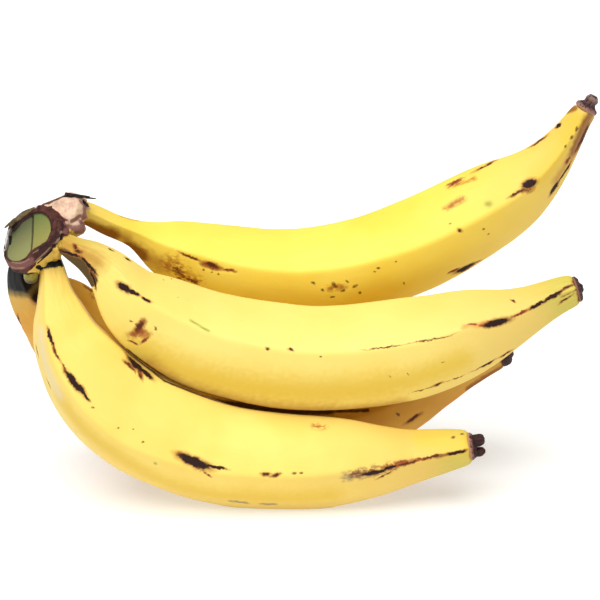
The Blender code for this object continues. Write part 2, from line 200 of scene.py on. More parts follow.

# Marks on the skins, painted shade, shadow and reflection among them: kind, then each stroke as its half
# width in mm and the pixels of the photograph where it starts and ends
MARKS = {
    "fruit_upper_rear": {
        "mottled patch": ("rust", (7.5, 173, 262, 184, 276), (5.0, 180, 276, 198, 281),
            (3.0, 164, 262, 168, 268)),
        "mottled heart": ("mottle", (3.6, 176, 268, 182, 276), (2.8, 188, 279, 195, 282)),
        "ridge streak": ("brown", (0.8, 180, 252.5, 201, 261), (1.3, 206, 263.5, 218, 267.5)),
        "ridge streak red": ("red", (2.5, 202, 263, 221, 268.5), (1.1, 221, 269, 236, 272)),
        "streak dot": ("dot", (0.8, 203, 270, 204, 270), (0.7, 211, 272, 212, 272),
            (0.8, 218, 274, 219, 274)),
        # tip side: painted shade on the side of the tip that faces away from the light
        "tip side": ("gold", (9.0, 540, 176, 578, 124)),
        "cluster": ("dot", (0.9, 312, 282, 315, 283), (0.8, 322, 290, 324, 291), (0.8, 331, 297, 334, 297),
            (1.3, 334, 284, 336, 286), (0.9, 342, 291, 344, 290), (0.8, 346, 281, 348, 282),
            (0.9, 354, 287, 357, 285), (0.8, 359, 293, 360, 294)),
        "cluster haze": ("rust", (3.2, 330, 288, 343, 287)),
        "dots": ("dot", (0.8, 377, 268, 378, 268), (0.6, 374, 272, 375, 272), (0.7, 404, 283, 405, 284),
            (0.6, 396, 262, 397, 262), (0.6, 450, 224, 451, 224), (0.6, 483, 228, 484, 229),
            (0.6, 488, 234, 489, 234)),
        "dot right": ("brown", (0.9, 459, 230, 461, 231)),
        "red streak": ("red", (1.8, 447, 186, 462, 178.5)),
        "red streak haze": ("rust", (2.8, 450, 186, 473, 179)),
        "orange smear": ("rust", (2.6, 445, 209, 463, 199)),
        "orange smear heart": ("tan", (2.6, 449, 206, 460, 200)),
        "green dot": ("green", (2.3, 487, 204, 489, 204)),
        "dark blotch": ("dark", (2.7, 526, 185, 532, 182)),
        "dark blotch brown": ("brown", (1.0, 510, 197, 522, 190), (1.3, 519, 192, 532, 189)),
        "top edge line": ("brown", (0.9, 474, 171.5, 496, 160), (0.8, 530, 147, 546, 136)),
        "top edge dot": ("dark", (1.2, 557, 126.5, 559, 125)),
        "lower edge": ("dark", (2.2, 459, 271.5, 471, 265), (1.7, 552, 192, 557, 184),
            (1.0, 558, 183, 571, 162)),
        "lower edge brown": ("brown", (0.9, 471, 266, 480, 261), (2.4, 576, 152, 590, 124)),
        "lower edge red": ("red", (1.6, 449, 273, 458, 269), (1.8, 566, 163, 570, 158)),
        # tip: painted shade on the tip's right facet, which faces away from the light
        "tip": ("umber", (4.2, 588, 119, 574, 150), (2.0, 568, 111, 575, 108)),
        "tip facet shade low": ("tan", (4.0, 574, 150, 556, 180)),
        "tip spot": ("dot", (1.0, 576, 130, 577, 128), (0.9, 571, 138, 573, 136), (0.7, 565, 147, 566, 146)),
        # neck: painted shade on the neck's lower facet and in the hollow below it; neck tan: orange-brown
        # painted shade below the neck's ridge, with a small tan patch on its top
        "neck": ("umber", (5.0, 82, 231, 112, 234.5), (4.8, 127, 246, 142, 255)),
        "neck tan": ("tan", (4.6, 106, 232, 126, 239), (7.0, 134, 250, 160, 264), (2.0, 122, 213, 138, 218)),
    },
    "fruit_upper_front": {
        "neck": ("dark", (2.0, 120, 285, 128, 290), (1.2, 128, 290, 139, 295.5), (1.0, 143, 298, 150, 301),
            (0.9, 60, 250, 80, 256.5), (1.0, 80, 257, 96, 274), (0.8, 90, 271, 96, 288),
            (0.8, 110, 249, 112, 250), (0.8, 126, 258, 129, 260)),
        "neck spot": ("brown", (1.3, 74, 245, 75.5, 248), (1.2, 76, 251, 80, 252)),
        "triangle": ("red", (2.4, 137, 331, 143, 321), (1.9, 133, 334, 144, 331), (0.9, 128, 341, 139, 345),
            (0.9, 139, 345, 149, 337)),
        "triangle heart": ("brown", (1.9, 137, 331, 142, 323)),
        "triangle haze": ("rust", (3.2, 132, 336, 148, 334)),
        "triangle dot": ("dot", (0.9, 155, 328, 156, 330)),
        "dots": ("dot", (0.7, 130, 320, 131, 321), (0.6, 128, 259, 129, 259), (0.6, 163, 280, 164, 280),
            (0.5, 171, 279, 172, 279), (0.6, 177, 297, 178, 297)),
        "dot on the ridge": ("brown", (0.7, 267, 349, 269, 349)),
        "long dot on the ridge": ("brown", (0.8, 289, 349, 293, 350)),
        "greenish line": ("green", (1.0, 190, 320, 209, 331)),
        "ridge line": ("brown", (0.45, 365, 350, 410, 344), (0.55, 408, 344, 452, 335)),
        "ridge line thick": ("orange", (2.0, 463, 327, 492, 322)),
        "ridge streak": ("dark", (1.9, 484, 325, 508, 320)),
        "ridge streak red": ("red", (0.9, 466, 325, 486, 325), (1.0, 508, 319, 532, 308)),
        "tip streak": ("dark", (1.1, 530, 309, 546, 301), (1.2, 544, 301, 562, 291)),
        "tip": ("brown", (0.9, 560, 291, 575, 284), (0.8, 563, 296, 576, 290), (0.8, 560, 303, 572, 296)),
        "v mark": ("brown", (0.7, 511, 300, 514, 302)),
        "low ridge dash": ("dark", (0.8, 479, 369, 495, 360)),
        "low ridge": ("brown", (0.7, 499, 358, 511, 351), (0.8, 433, 386, 441, 383),
            (0.4, 410, 393, 434, 386), (0.35, 446, 382, 476, 370)),
        "pits": ("dot", (0.5, 320, 357, 321, 357), (0.6, 390, 377, 391, 378), (0.5, 408, 373, 409, 375),
            (0.6, 442, 362, 443, 362)),
        # neck lower facet: painted shade on the underside facet of the neck
        "neck lower facet shade": ("olive", (4.6, 62, 259, 80, 266), (4.4, 80, 266, 91, 280)),
        "tip end shade": ("umber", (1.8, 575, 282, 580, 299)),
        "neck side": ("tan", (6.5, 66, 246, 96, 261)),
        # lower side: painted shade over the lower side, which faces away from the light
        "lower side": ("gold", (14.0, 140, 348, 200, 376), (15.0, 200, 376, 290, 391),
            (14.0, 290, 391, 390, 384), (11.0, 390, 384, 460, 362)),
        # lower rim: painted shade, darker orange along the lower edge where the skin turns under
        "lower rim shade": ("tan", (7.5, 150, 365, 190, 390), (8.5, 190, 390, 250, 406),
            (8.5, 250, 406, 330, 411), (6.5, 330, 411, 400, 404)),
        # gap: painted shadow in the gap where this fruit touches the lower front one
        "gap": ("wine", (1.3, 128, 350, 150, 367), (1.4, 150, 367, 190, 390), (1.6, 190, 391, 250, 406),
            (1.6, 250, 407, 330, 411)),
    },
    "fruit_lower_front": {
        "left": ("dark", (0.9, 47, 329, 53, 345), (1.8, 67, 373, 83, 394), (0.9, 81, 391, 88, 400),
            (0.7, 36, 347, 38, 356), (0.6, 47, 380, 50, 387)),
        "left ridge": ("brown", (0.8, 52, 343, 60, 361), (0.7, 62, 364, 69, 376)),
        "belly blotch": ("dark", (2.6, 181, 456, 207, 467), (0.8, 204, 464, 226, 469)),
        "belly": ("brown", (1.0, 178, 454, 186, 458), (1.1, 262, 474, 270, 475), (1.0, 272, 476, 279, 475)),
        "belly blotch tail low": ("red", (1.0, 200, 468, 212, 478)),
        "belly dot": ("dot", (0.9, 293, 473, 296, 473), (0.8, 300, 473, 302, 473)),
        "grey streak": ("grey", (4.2, 346, 477, 374, 473)),
        "grey streak heart": ("mottle", (4.0, 354, 475, 394, 467)),
        "grey streak dark": ("dark", (1.5, 362, 475, 386, 470), (0.9, 384, 470, 396, 465)),
        "grey streak branch": ("brown", (0.6, 378, 478, 392, 471)),
        "red streak": ("red", (2.2, 388, 465, 414, 460), (1.4, 414, 461, 430, 458)),
        "red streak brown": ("brown", (0.8, 394, 466, 420, 460)),
        "tip line": ("brown", (1.0, 416, 460.5, 450, 454)),
        "tip line dark": ("dark", (1.0, 448, 454.5, 466, 450.5)),
        # contact patch: a dark blotch with drips where the fruit meets the upper front one, deepened as
        # painted contact shadow
        "contact patch": ("dark", (2.6, 129, 357, 143, 370), (1.6, 140, 367, 152, 378)),
        # lower side and tip side: painted shade over the sides that face away from the light
        "lower side": ("gold", (9.0, 62, 402, 112, 452), (10.0, 112, 452, 170, 484),
            (11.0, 170, 484, 250, 497), (10.0, 250, 497, 330, 496)),
        "tip side": ("gold", (9.0, 424, 440, 466, 446)),
        # left edge: a painted pale reflection along the grazing left edge
        "left edge": ("pale", (6.0, 41, 335, 45, 362), (6.0, 45, 362, 58, 392)),
        "contact shade": ("wine", (1.7, 117, 341, 136, 358), (1.7, 136, 358, 165, 381),
            (1.6, 165, 381, 203, 396), (1.6, 203, 396, 262, 407)),
        "contact patch brown": ("brown", (1.2, 125, 361, 134, 369), (1.1, 138, 368, 142, 379),
            (0.7, 131, 364, 135, 372)),
        "orange spot": ("rust", (3.0, 314, 426, 324, 427)),
        "specks": ("dot", (0.6, 93, 407, 94, 408), (0.6, 118, 427, 119, 427), (0.6, 133, 429, 134, 429),
            (0.7, 142, 442, 143, 442)),
        "greenish speck": ("green", (1.0, 155, 463, 156, 464)),
        "floor smudge": ("grey", (2.4, 232, 501, 246, 503), (2.2, 262, 504, 274, 504)),
        "tip dot": ("dot", (0.8, 452, 437, 455, 437), (0.9, 461, 434, 463, 434)),
    },
    "fruit_lower_rear": {
        "right blotch": ("brown", (1.7, 408, 422, 419, 415)),
        "right dot": ("dot", (0.9, 397, 413, 398, 415)),
        "left streak": ("brown", (0.8, 18, 316, 21, 327)),
        # neck wedge: painted shadow in the wedge between this neck and the lower front fruit
        "neck wedge shadow": ("dark", (3.2, 33, 284, 37, 300)),
        "neck haze": ("tan", (3.0, 14, 292, 30, 294)),
        "neck orange spots": ("mottle", (4.0, 88, 287, 96, 296)),
        "tip shade": ("umber", (3.2, 470, 388, 502, 368)),
        # edge glow: a painted orange glow along the lower right edge
        "edge glow": ("orange", (2.4, 446, 413, 474, 390)),
        "gap shade": ("wine", (3.0, 165, 388, 250, 406), (3.0, 250, 406, 330, 411),
            (1.2, 330, 411.5, 368, 410)),
    },
}

# Kinds of mark: linear colour, where it is full and where it is gone as shares of the half width, how far
# noise breaks it up, and its strength
MARK_KINDS = {
    # The next kind is painted shade: a deeper, darker yellow on sides that face away from the light
    "gold": ((0.74, 0.50, 0.055), 0.0, 1.2, 0.0, 0.9),
    # The next kind, on the skin, is a painted pale reflection along a grazing edge
    "pale": ((0.72, 0.60, 0.36), 0.0, 1.2, 0.0, 0.7),
    "tan": ((0.50, 0.25, 0.035), 0.0, 1.25, 0.0, 0.8),
    # The next kind, on the skin, is painted shade on the underside facet of a neck
    "olive": ((0.085, 0.048, 0.008), 0.75, 1.1, 0.0, 1.0),
    "orange": ((0.72, 0.25, 0.035), 0.0, 1.25, 0.35, 0.9),
    "green": ((0.22, 0.30, 0.03), 0.0, 1.25, 0.0, 0.9),
    # The next kind is painted shade on facets that face away from the light
    "umber": ((0.27, 0.095, 0.006), 0.35, 1.15, 0.0, 0.95),
    # The next kind is painted shadow in the narrow gaps where fruits touch
    "wine": ((0.070, 0.017, 0.005), 0.3, 1.25, 0.0, 1.0),
    "grey": ((0.22, 0.16, 0.10), 0.2, 1.2, 0.5, 0.8),
    "rust": ((0.40, 0.12, 0.015), 0.0, 1.15, 0.9, 0.9),
    "mottle": ((0.17, 0.045, 0.010), 0.0, 1.2, 1.1, 1.0),
    "red": ((0.24, 0.045, 0.014), 0.45, 1.15, 0.25, 1.0),
    "dot": ((0.13, 0.045, 0.008), 0.4, 1.15, 0.0, 0.9),
    "brown": ((0.085, 0.020, 0.006), 0.5, 1.15, 0.2, 1.0),
    "dark": ((0.022, 0.006, 0.004), 0.7, 1.15, 0.08, 1.0),
}
# Kinds that each point of the skin holds as three values; the last set repeats one of its two
SOFT_KINDS = (("tan", "umber", "rust"), ("orange", "olive", "grey"), ("mottle", "green", "wine"),
              ("gold", "pale", "pale"))
HALO = (0.42, 0.13, 0.02)  # dried edge round the darkest marks
HALO_KINDS = ("brown", "dark")
HALO_FULL = 1.0
HALO_GONE = 1.5
HALO_STRENGTH = 0.5

SCAR_DEPTH = 0.22  # how far dark scars sink into the skin
SCAR_KINDS = ("brown", "dark", "red")
SCAR_SPAN = (1.3, 0.4)  # shares of the half width where a scar begins to sink and is full
FAR_AWAY = 3.0  # shares of the half width past which a soft mark no longer counts
HOLES_SPAN = (0.42, 0.7)
HOLES_STRETCH = (0.6, 1.0, 1.0)
MARK_EDGE = 1.3  # how far noise pushes the edges of marks
MARK_DRIFT = 2.2

# Seeded marks on the sides away from the camera: how many, and the shares of the length that they lie between
STREAKS = (9, 0.14, 0.88)
SPECKS = (16, 0.12, 0.95)
PATCHES = (2, 0.25, 0.8)
STREAK_RIDGES = (155, 215)  # degrees round the section
SPECK_SIDES = (110, 262)
PATCH_SIDES = (130, 240)
STREAK_WIDTHS = (0.5, 1.5)
SPECK_WIDTHS = (0.4, 1.2)
PATCH_WIDTHS = (3, 6)
STREAK_RINGS = (4, 26)  # how many rings of the skin a streak runs over
PATCH_RUN = (12, 2)  # how many rings and sides a patch runs over

# Bands round the necks: colour, where each starts and ends along the fruit, and how softly
BLACK = (0.005, 0.004, 0.004)
PEDICEL = (0.68, 0.44, 0.085)
NECK_BANDS = {
    "fruit_lower_front": ((PEDICEL, -5.0, 7.2, 0.6), (BLACK, 7.2, 10.8, 0.5)),
    "fruit_lower_rear": (((0.16, 0.12, 0.035), -5.0, 18.5, 2.0), (BLACK, -5.0, 15.8, 1.2)),
}

# The crown: a slab behind the cut face, with a lobe that reaches out to a collar round each neck
FACE_CENTRE = np.array((-133.4, -10.5, 134.3))
FACE_NORMAL = (-0.58, -0.56, 0.59)
FACE_LONG_WAY = (0.66, 0.10, 0.745)
# Outer edge of the peel round the cut face, along its long and short ways
RIM = (
    (19.2, -5.0), (17.6, -13.2), (13.5, -17.0), (8.7, -18.4), (3.3, -18.0), (-3.5, -16.2), (-8.8, -15.0),
    (-13.0, -12.0), (-16.7, -4.4), (-16.4, 5.4), (-13.0, 10.8), (-9.0, 15.2), (-4.0, 18.8), (3.9, 18.6),
    (10.7, 14.7), (15.8, 10.0), (18.8, 3.0))
SLAB = ((0.0, 0.93), (2.0, 1.0), (6.0, 0.97), (13.0, 0.68))  # depth behind the face, share of the rim's reach
CROWN_SIDES = 48
LOBE_ROOT = 12.5
LOBE_DEPTH = 3.0
LOBE_STEP = 0.7
COLLARS = {  # how far along the fruit its collar ends, and the collar's wall round the neck
    "fruit_upper_rear": (4.4, 2.8),
    "fruit_upper_front": (4, 1.5),
    "fruit_lower_front": (3.5, 1.4),
    "fruit_lower_rear": (5, 1.8),
}
COLLAR_LENGTH = 3.0
LINE_PLACES = 300
SHOULDER = (np.array((-115.5, -1.0, 144.8)), 10.0)
TOP_WEB = (((-124.5, 0.5, 144.3), 5.0), ((-115.0, 0.0, 147.4), 6.0))
WEB = (((-107.8, -3.6, 136.3), 3.0), ((-111.0, -5.0, 138.8), 5.5), ((-120.0, -6.0, 139.0), 8.0))
CROWN_VOXEL = 0.5
CROWN_SMOOTHING = 8
# Spans over which something on the crown begins and is full
FACE_TURN = (0.45, 0.8)  # how squarely a point faces the way of the cut
FACE_DEPTH = (4.0, 2.0)
CUT_EDGE = (0.6, -0.6)  # distance from the outline of the flesh
CREASE_SPAN = (2.2, 0.6)  # shares of the crease's half width
CREASE_SIDES = (-3.0, 3.0)
DARK_RIM_SPAN = (1.1, 0.2)  # distance from the middle of the dark rim round the flesh
PAINT_SPAN = (1.6, 0.4)  # shares of the half width
TEAR_SPAN = (-3.0, -0.3)  # distance past the end of a collar
TEAR_REACH = (5, 3)  # distance outside the neck
DARK_RIM_PLACE = 0.2
DARK_RIM_SHARE = 0.8
CUT_DEPTH = 1.3  # how far the cut flesh has shrunk below the rim of the peel
CREASE_DEPTH = 1.0
CREASE_WIDTH = 0.45
LUMPS_LOST = 0.8  # share of the lumps that the flesh lacks
FIBRES_LOST = 0.7
# Outline of the cut flesh and the crease across it, as pixels of the photograph
CUT_OUTLINE = (
    (5.5, 254), (7.5, 243), (11, 231), (17, 223), (24, 218), (30, 214.5), (36, 212.5), (42, 213),
    (47.5, 217.5), (49.8, 225), (49.6, 232), (46.5, 239.5), (40, 244.5), (33, 248), (28.5, 252), (25, 257),
    (17, 260.5), (9, 259.5))
CREASE = ((30.7, 214), (30.4, 232), (28.6, 254))
# Pixels between which the flesh's painted shade fades, dark at the top
FLESH_TOP = (20, 212)
FLESH_BOTTOM = (28, 258)
# Paint on the crown: kind, then each stroke as its half width in mm and the pixels of the photograph that it
# runs through
CROWN_PAINT = {
    "flank": ("flank", (3.0, 68, 227, 83, 231), (2.2, 48, 203, 58, 199, 68, 196)),
    # flank purple: mauve patches, and painted shade along the flank's right and lower edges
    "flank purple": ("purple", (2.4, 66, 232, 76, 230, 83, 229), (1.5, 81, 222, 84, 225),
        (0.9, 80, 201, 84, 205), (1.5, 85, 207, 83, 218), (1.1, 72, 221, 80, 216), (1.6, 65, 225, 70, 228)),
    "line under the top scale": ("purple", (0.6, 52, 199.5, 66, 194.5)),
    "peel flap": ("khaki", (2.4, 9, 223, 20, 214, 31, 208)),
    "peel flap shade": ("shade", (0.6, 12.5, 230, 21, 220.5, 30, 215), (0.5, 8, 219.5, 18, 212, 29, 206),
        (1.0, 6, 226, 10, 228)),
    "top fleck": ("pale", (0.9, 35, 204, 36, 206.5), (0.7, 43, 202.5, 47, 203.5)),
    # left edge: pale flecks and a painted highlight along the left rim
    "left edge": ("pale", (1.3, 10, 230, 7, 239, 4.5, 249)),
    "left edge dark": ("black", (0.6, 9.5, 236, 8.5, 243), (0.8, 2.5, 245.5, 3.5, 248.5)),
    "ring": ("shade", (2.3, 57, 236, 49, 245, 38, 253), (0.9, 61.5, 222, 62, 230)),
    "ring bottom": ("pink", (2.0, 5, 261, 13, 265, 24, 265, 31, 261)),
    "ring tan": ("tan", (0.45, 8, 264, 16, 268.5, 24, 268), (0.4, 12, 262, 21, 263.5, 29, 259),
        (0.4, 33, 253, 38, 250)),
    "rim fibre": ("tan", (0.38, 62, 231, 57.5, 239.5, 46.4, 251.5, 35, 262)),
    "rim fibre dark": ("black", (0.45, 63, 234, 59.5, 241.5, 50, 252, 38, 263.5)),
    "pedicel": ("olive", (3.4, 43, 263.5, 51, 259, 58, 255), (2.0, 52, 255, 59, 249)),
    "pedicel foot": ("black", (1.3, 38, 267, 50, 267.5, 62, 267.5)),
    "lower left": ("black", (2.5, 8, 274, 20, 277, 33, 277)),
}

CROWN_KINDS = (("flank", "purple", "khaki"), ("pale", "shade", "tan"), ("pink", "olive", "black"))
# Paint of the lobes behind the rim: kind, fruit, and the share of the way to its neck where the paint starts
LOBE_PAINT = (
    ("flank", "fruit_upper_rear", 0.50), ("olive", "fruit_lower_front", 0.55),
    ("black", "fruit_lower_rear", 0.45))
LOBE_PAINT_SOFT = 0.1
LOBE_PAINT_REACH = (17.0, 14.0)  # mm from the middle of the neck where it begins and is full
BEHIND_RIM = (1.4, 3.2)  # depths behind the face

# Two tones that noise blends: the noise where the first ends and the second is full, and both colours
PEEL_TONES = (0.35, 0.65, (0.046, 0.015, 0.012), (0.105, 0.034, 0.026))
FLANK_TONES = (0.38, 0.66, (0.76, 0.55, 0.38), (0.60, 0.36, 0.27))
KHAKI_TONES = (0.35, 0.7, (0.10, 0.075, 0.03), (0.17, 0.13, 0.06))
# Colour of the flesh left and right of the crease, at the top and at the bottom; the darker top is painted
# shade
FLESH_LEFT = ((0.060, 0.068, 0.036), (0.27, 0.27, 0.10))
FLESH_RIGHT = ((0.085, 0.14, 0.040), (0.30, 0.27, 0.075))
# Spots of noise: the noise where they begin and are full, their share and their colour
PEEL_FIBRES = (0.55, 0.75, 0.25, (0.20, 0.10, 0.08))
FLANK_SPOTS = (0.55, 0.8, 0.3, (0.42, 0.22, 0.17))
FLESH_SPOTS = (0.45, 0.8, 0.25, (0.14, 0.16, 0.06))
# How torn and how soft the edge of each paint on the crown is
EDGES = {
    "flank": (0.35, 0.12), "khaki": (0.5, 0.12), "cut": (0.2, 0.12), "olive": (0.3, 0.12),
    "black": (0.6, 0.2), "purple": (0.8, 0.3), "pink": (1.0, 0.3), "pale": (0.9, 0.25),
    "shade": (0.5, 0.3), "tan": (0.5, 0.3),
}
# Thin paints over the crown: share and colour
GLAZES = {
    "purple": (0.85, (0.22, 0.095, 0.09)),
    "pink": (0.8, (0.17, 0.075, 0.065)),
    "pale": (0.9, (0.60, 0.56, 0.50)),
    "shade": (0.8, (0.026, 0.011, 0.010)),
    "tan": (0.6, (0.32, 0.19, 0.12)),
}
CELLS_SHIFT = (40.0, 0.0, 0.0)  # sets the cells apart from the grain
GRAIN_HEIGHT = 0.7
CELLS_HEIGHT = 0.5

# Slivers of dry bract: colour, root, tip, width and half thickness at the root
SLIVERS = (
    ("black", (-112.4, -0.6, 153.2), (-103.2, -1.6, 152.2), 4.0, 1.1),
    ("black", (-106.4, -1.2, 150.0), (-103.6, -2.4, 148.0), 2.6, 0.7),
    ("rust", (-124.0, -0.5, 149.4), (-114.2, -2.0, 153.6), 3.4, 0.45),
    ("khaki", (-142.8, -1.0, 139.2), (-145.8, -2.0, 137.0), 4.0, 0.6),
    ("black", (-110.0, 8.0, 150.2), (-101.5, 12.5, 148.0), 4.4, 0.6),
    ("rust", (-128.0, 9.0, 143.0), (-122.0, 13.5, 140.0), 5.0, 0.6),
    ("black", (-137.0, 9.0, 127.0), (-138.0, 13.0, 121.0), 4.6, 0.6),
    ("rust", (-131.0, 12.0, 131.0), (-127.5, 15.5, 126.5), 4.0, 0.6),
)
SLIVER_COLOURS = {
    "black": ((0.010, 0.008, 0.008), (0.05, 0.03, 0.024)),
    "rust": ((0.13, 0.055, 0.035), (0.33, 0.17, 0.12)),
    "khaki": ((0.07, 0.05, 0.02), (0.16, 0.12, 0.05)),
}
SLIVER_RINGS = 12
SLIVER_SIDES = 10
SLIVER_FOOT = 3.0  # how far a sliver starts inside the crown
SLIVER_SPAN = (0.45, 0.7)  # noise where the first colour ends and the second is full
SLIVER_CURL = (-0.3, 0.5)  # least and most rise of the tip by chance
SLIVER_TEARS = (-0.2, 0.1)  # least and most change of its width by chance
SLIVER_LEAST = 0.15
SLIVER_THINNING = 0.6  # share of the thickness lost at the tip

STUB_ROOT = (-131.5, -12.0, 125.0)
STUB_TIP = (-132.5, -13.6, 112.2)
STUB_PROFILE = ((0, 2.8), (6, 3.5), (10.5, 3.3), (12.6, 2.4), (13.2, 1.0))
STUB_TONES = (0.4, 0.7, (0.46, 0.40, 0.055), (0.30, 0.26, 0.045))
# Dark ends of the stub: where each begins and is full down the stub, and its colour
STUB_ENDS = ((9.0, 13.0, (0.05, 0.03, 0.015)), (4.5, 2.0, (0.05, 0.03, 0.02)))

# Dried flower ends: distance past the fruit's end, and radius there
END_GAP = 0.3
DRY_ENDS = {
    "fruit_upper_rear": (
        (-0.5, 5.7), (0.4, 5.9), (1.4, 5.5), (2.6, 3.9), (3.8, 3.0), (5.4, 3.3), (7.0, 2.7), (8.0, 1.3)),
    "fruit_upper_front": (
        (-0.5, 6.4), (0.3, 6.5), (1.0, 6.1), (1.7, 5.2), (1.9, 3.8), (2.3, 2.6), (3.0, 2.0), (3.3, 1.0)),
    "fruit_lower_front": ((-0.5, 6.9), (0.3, 7.0), (1.2, 6.3), (2.4, 5.2), (3.0, 4.0)),
    "fruit_lower_rear": (
        (-0.5, 6.3), (0.5, 6.4), (2.0, 6.2), (3.8, 5.5), (4.6, 4.2), (4.9, 2.8), (5.8, 2.2), (6.3, 1.0)),
}
KNOBS = ((2.9, 3.1, 7.6), (-3.3, 2.4, 7.0))  # height above the middle line, radius and length
KNOB_SHAPE = ((0.1, 0.9), (0.45, 1.0), (0.8, 0.9), (0.96, 0.55), (1.0, 0.2))
TURNED_RINGS = 30
TURNED_SIDES = 48
LEAST_RADIUS = 0.05
END_VOXEL = 0.3
END_SMOOTHING = 3
END_EASE = (-0.2, 1.0)  # distances past the fruit's end where the relief begins and is full
END_STRETCH = (0.15, 0.9, 0.9)  # scale of the folds along the end and across it
END_RAGGED = 1.2
END_CREASE_SHADE = (0.05, -0.25, (0.015, 0.008, 0.008))  # painted shade in the creases of the folds: relief where it begins and is full, and its colour
END_SPOTS = (0.56, 0.75, 0.25, (0.26, 0.14, 0.10))
# Colour along each dried end: distance past the fruit's end and linear colour
END_COLOURS = {
    "fruit_upper_rear": ((0.0, (0.40, 0.22, 0.16)), (1.2, (0.26, 0.12, 0.10)), (2.4, (0.05, 0.02, 0.022)),
                         (4.5, (0.13, 0.07, 0.055)), (6.5, (0.24, 0.15, 0.12)), (8.0, (0.12, 0.07, 0.06))),
    "fruit_upper_front": ((0.0, (0.30, 0.13, 0.09)), (0.5, (0.10, 0.04, 0.03)), (2.0, (0.035, 0.016, 0.014))),
    "fruit_lower_front": ((0.0, (0.45, 0.24, 0.15)), (0.9, (0.30, 0.13, 0.09)), (1.8, (0.030, 0.009, 0.009)),
                          (7.6, (0.045, 0.013, 0.012))),
    "fruit_lower_rear": ((0.0, (0.10, 0.04, 0.03)), (1.0, (0.03, 0.014, 0.014)), (5.2, (0.05, 0.022, 0.02))),
}


def smoothstep(value, low, high):
    share = np.clip((value - low) / (high - low), 0.0, 1.0)
    return share * share * (3 - 2 * share)


def unit(vector):
    return np.array(vector, dtype=float) / np.linalg.norm(vector)


def smooth_line(points, count):
    """Evenly spaced places on the natural cubic spline through the points, radius included."""
    points = np.array(points, dtype=float)
    gaps = np.linalg.norm(np.diff(points[:, :3], axis=0), axis=1)
    knots = np.concatenate(([0.0], np.cumsum(gaps)))
    last = len(points) - 1
    system = np.eye(last + 1)
    right = np.zeros_like(points)
    for i in range(1, last):
        before, after = gaps[i - 1], gaps[i]
        system[i, i - 1:i + 2] = before, 2 * (before + after), after
        right[i] = 6 * ((points[i + 1] - points[i]) / after - (points[i] - points[i - 1]) / before)
    bend = np.linalg.solve(system, right)
    along = np.linspace(0.0, knots[-1], count)
    span = np.clip(np.searchsorted(knots, along, side="right") - 1, 0, last - 1)
    width = gaps[span][:, None]
    start = (knots[span + 1] - along)[:, None] / width
    end = 1 - start
    curve = (start ** 3 - start) * bend[span] + (end ** 3 - end) * bend[span + 1]
    return start * points[span] + end * points[span + 1] + curve * width ** 2 / 6


def line_frames(line):
    """Unit vectors along a line, towards the front and towards its hollow side, one row a ring."""
    ahead = np.gradient(line[:, :3], axis=0)
    ahead /= np.linalg.norm(ahead, axis=1)[:, None]
    front = np.array((0.0, -1.0, 0.0)) + ahead * ahead[:, 1:2]
    front /= np.linalg.norm(front, axis=1)[:, None]
    return ahead, front, np.cross(front, ahead)


def ridged_section(angles, sharpness):
    """Radius factor round a five-ridged section: a circle blended with a round-cornered polygon."""
    ridges = np.radians(RIDGES)
    widths = np.diff(np.append(ridges, ridges[0] + 2 * math.pi))
    total = np.zeros_like(angles)
    for ridge, width in zip(ridges, widths):
        facing = np.maximum(0.0, np.cos(angles - ridge - width / 2))
        total += (facing / math.cos(width / 2)) ** RIDGE_POWER
    polygon = total ** (-1 / RIDGE_POWER)
    return (1 - sharpness) * ROUND_REACH + sharpness * polygon * FLAT_REACH


def noise_field(points, scale, seed):
    """Smooth noise from about -1 to 1 at each point, with features about 1/scale wide."""
    scaled = points.reshape(-1, 3) * np.array(scale) + seed
    values = np.array([noise.noise(point) for point in scaled.tolist()])
    return values.reshape(points.shape[:-1])


def noise_height(points, layers, seed=0):
    """Height of a surface by layers of noise."""
    return sum(noise_field(points, scale, seed + own) * height for scale, own, height in layers)


def pixel_direction(pixel):
    across = (pixel[0] - IMAGE_SIZE / 2) / FOCAL_LENGTH
    rise = (IMAGE_SIZE / 2 - pixel[1]) / FOCAL_LENGTH
    return unit(AHEAD + RIGHT * across + UP * rise)


def off_sight(points, direction):
    """Distance of points from a line of sight of the camera."""
    offset = points - EYE
    return np.linalg.norm(offset - (offset @ direction)[:, None] * direction, axis=1)


def full_turn(count):
    """Angles evenly spaced once round."""
    return np.linspace(0.0, 2 * math.pi, count, endpoint=False)


def add_object(name, data):
    piece = bpy.data.objects.new(name, data)
    bpy.context.scene.collection.objects.link(piece)
    return piece


def by_threes(prefix, sets, value_of):
    """Attributes named by a prefix, each with the values of one set of three kinds at every point."""
    return [(f"{prefix}_{i}", np.stack([value_of(kind) for kind in kinds], axis=1))
            for i, kinds in enumerate(sets)]


def make_mesh(name, points, faces, attributes=()):
    """A smooth piece from points in mm, with a vector for each point in each named attribute."""
    mesh = bpy.data.meshes.new(name)
    mesh.from_pydata((np.array(points) * MM).tolist(), [], faces)
    for key, values in attributes:
        layer = mesh.attributes.new(key, "FLOAT_VECTOR", "POINT")
        layer.data.foreach_set("vector", np.asarray(values, dtype=np.float32).ravel())
    mesh.shade_smooth()
    mesh.update()
    return add_object(name, mesh)


def grid_faces(rings, sides):
    """Quads of a tube of rings, closed by one face at each end."""
    quads = []
    for i in range(rings - 1):
        for j in range(sides):
            k = (j + 1) % sides
            quads.append((i * sides + j, i * sides + k, (i + 1) * sides + k, (i + 1) * sides + j))
    quads.append(tuple(reversed(range(sides))))
    quads.append(tuple(range((rings - 1) * sides, rings * sides)))
    return quads


def join_shells(shells):
    """Points and faces of all shells together, each shell given as points and faces."""
    points, faces = [], []
    for shell_points, shell_faces in shells:
        start = len(points)
        points += list(shell_points)
        faces += [tuple(corner + start for corner in face) for face in shell_faces]
    return points, faces


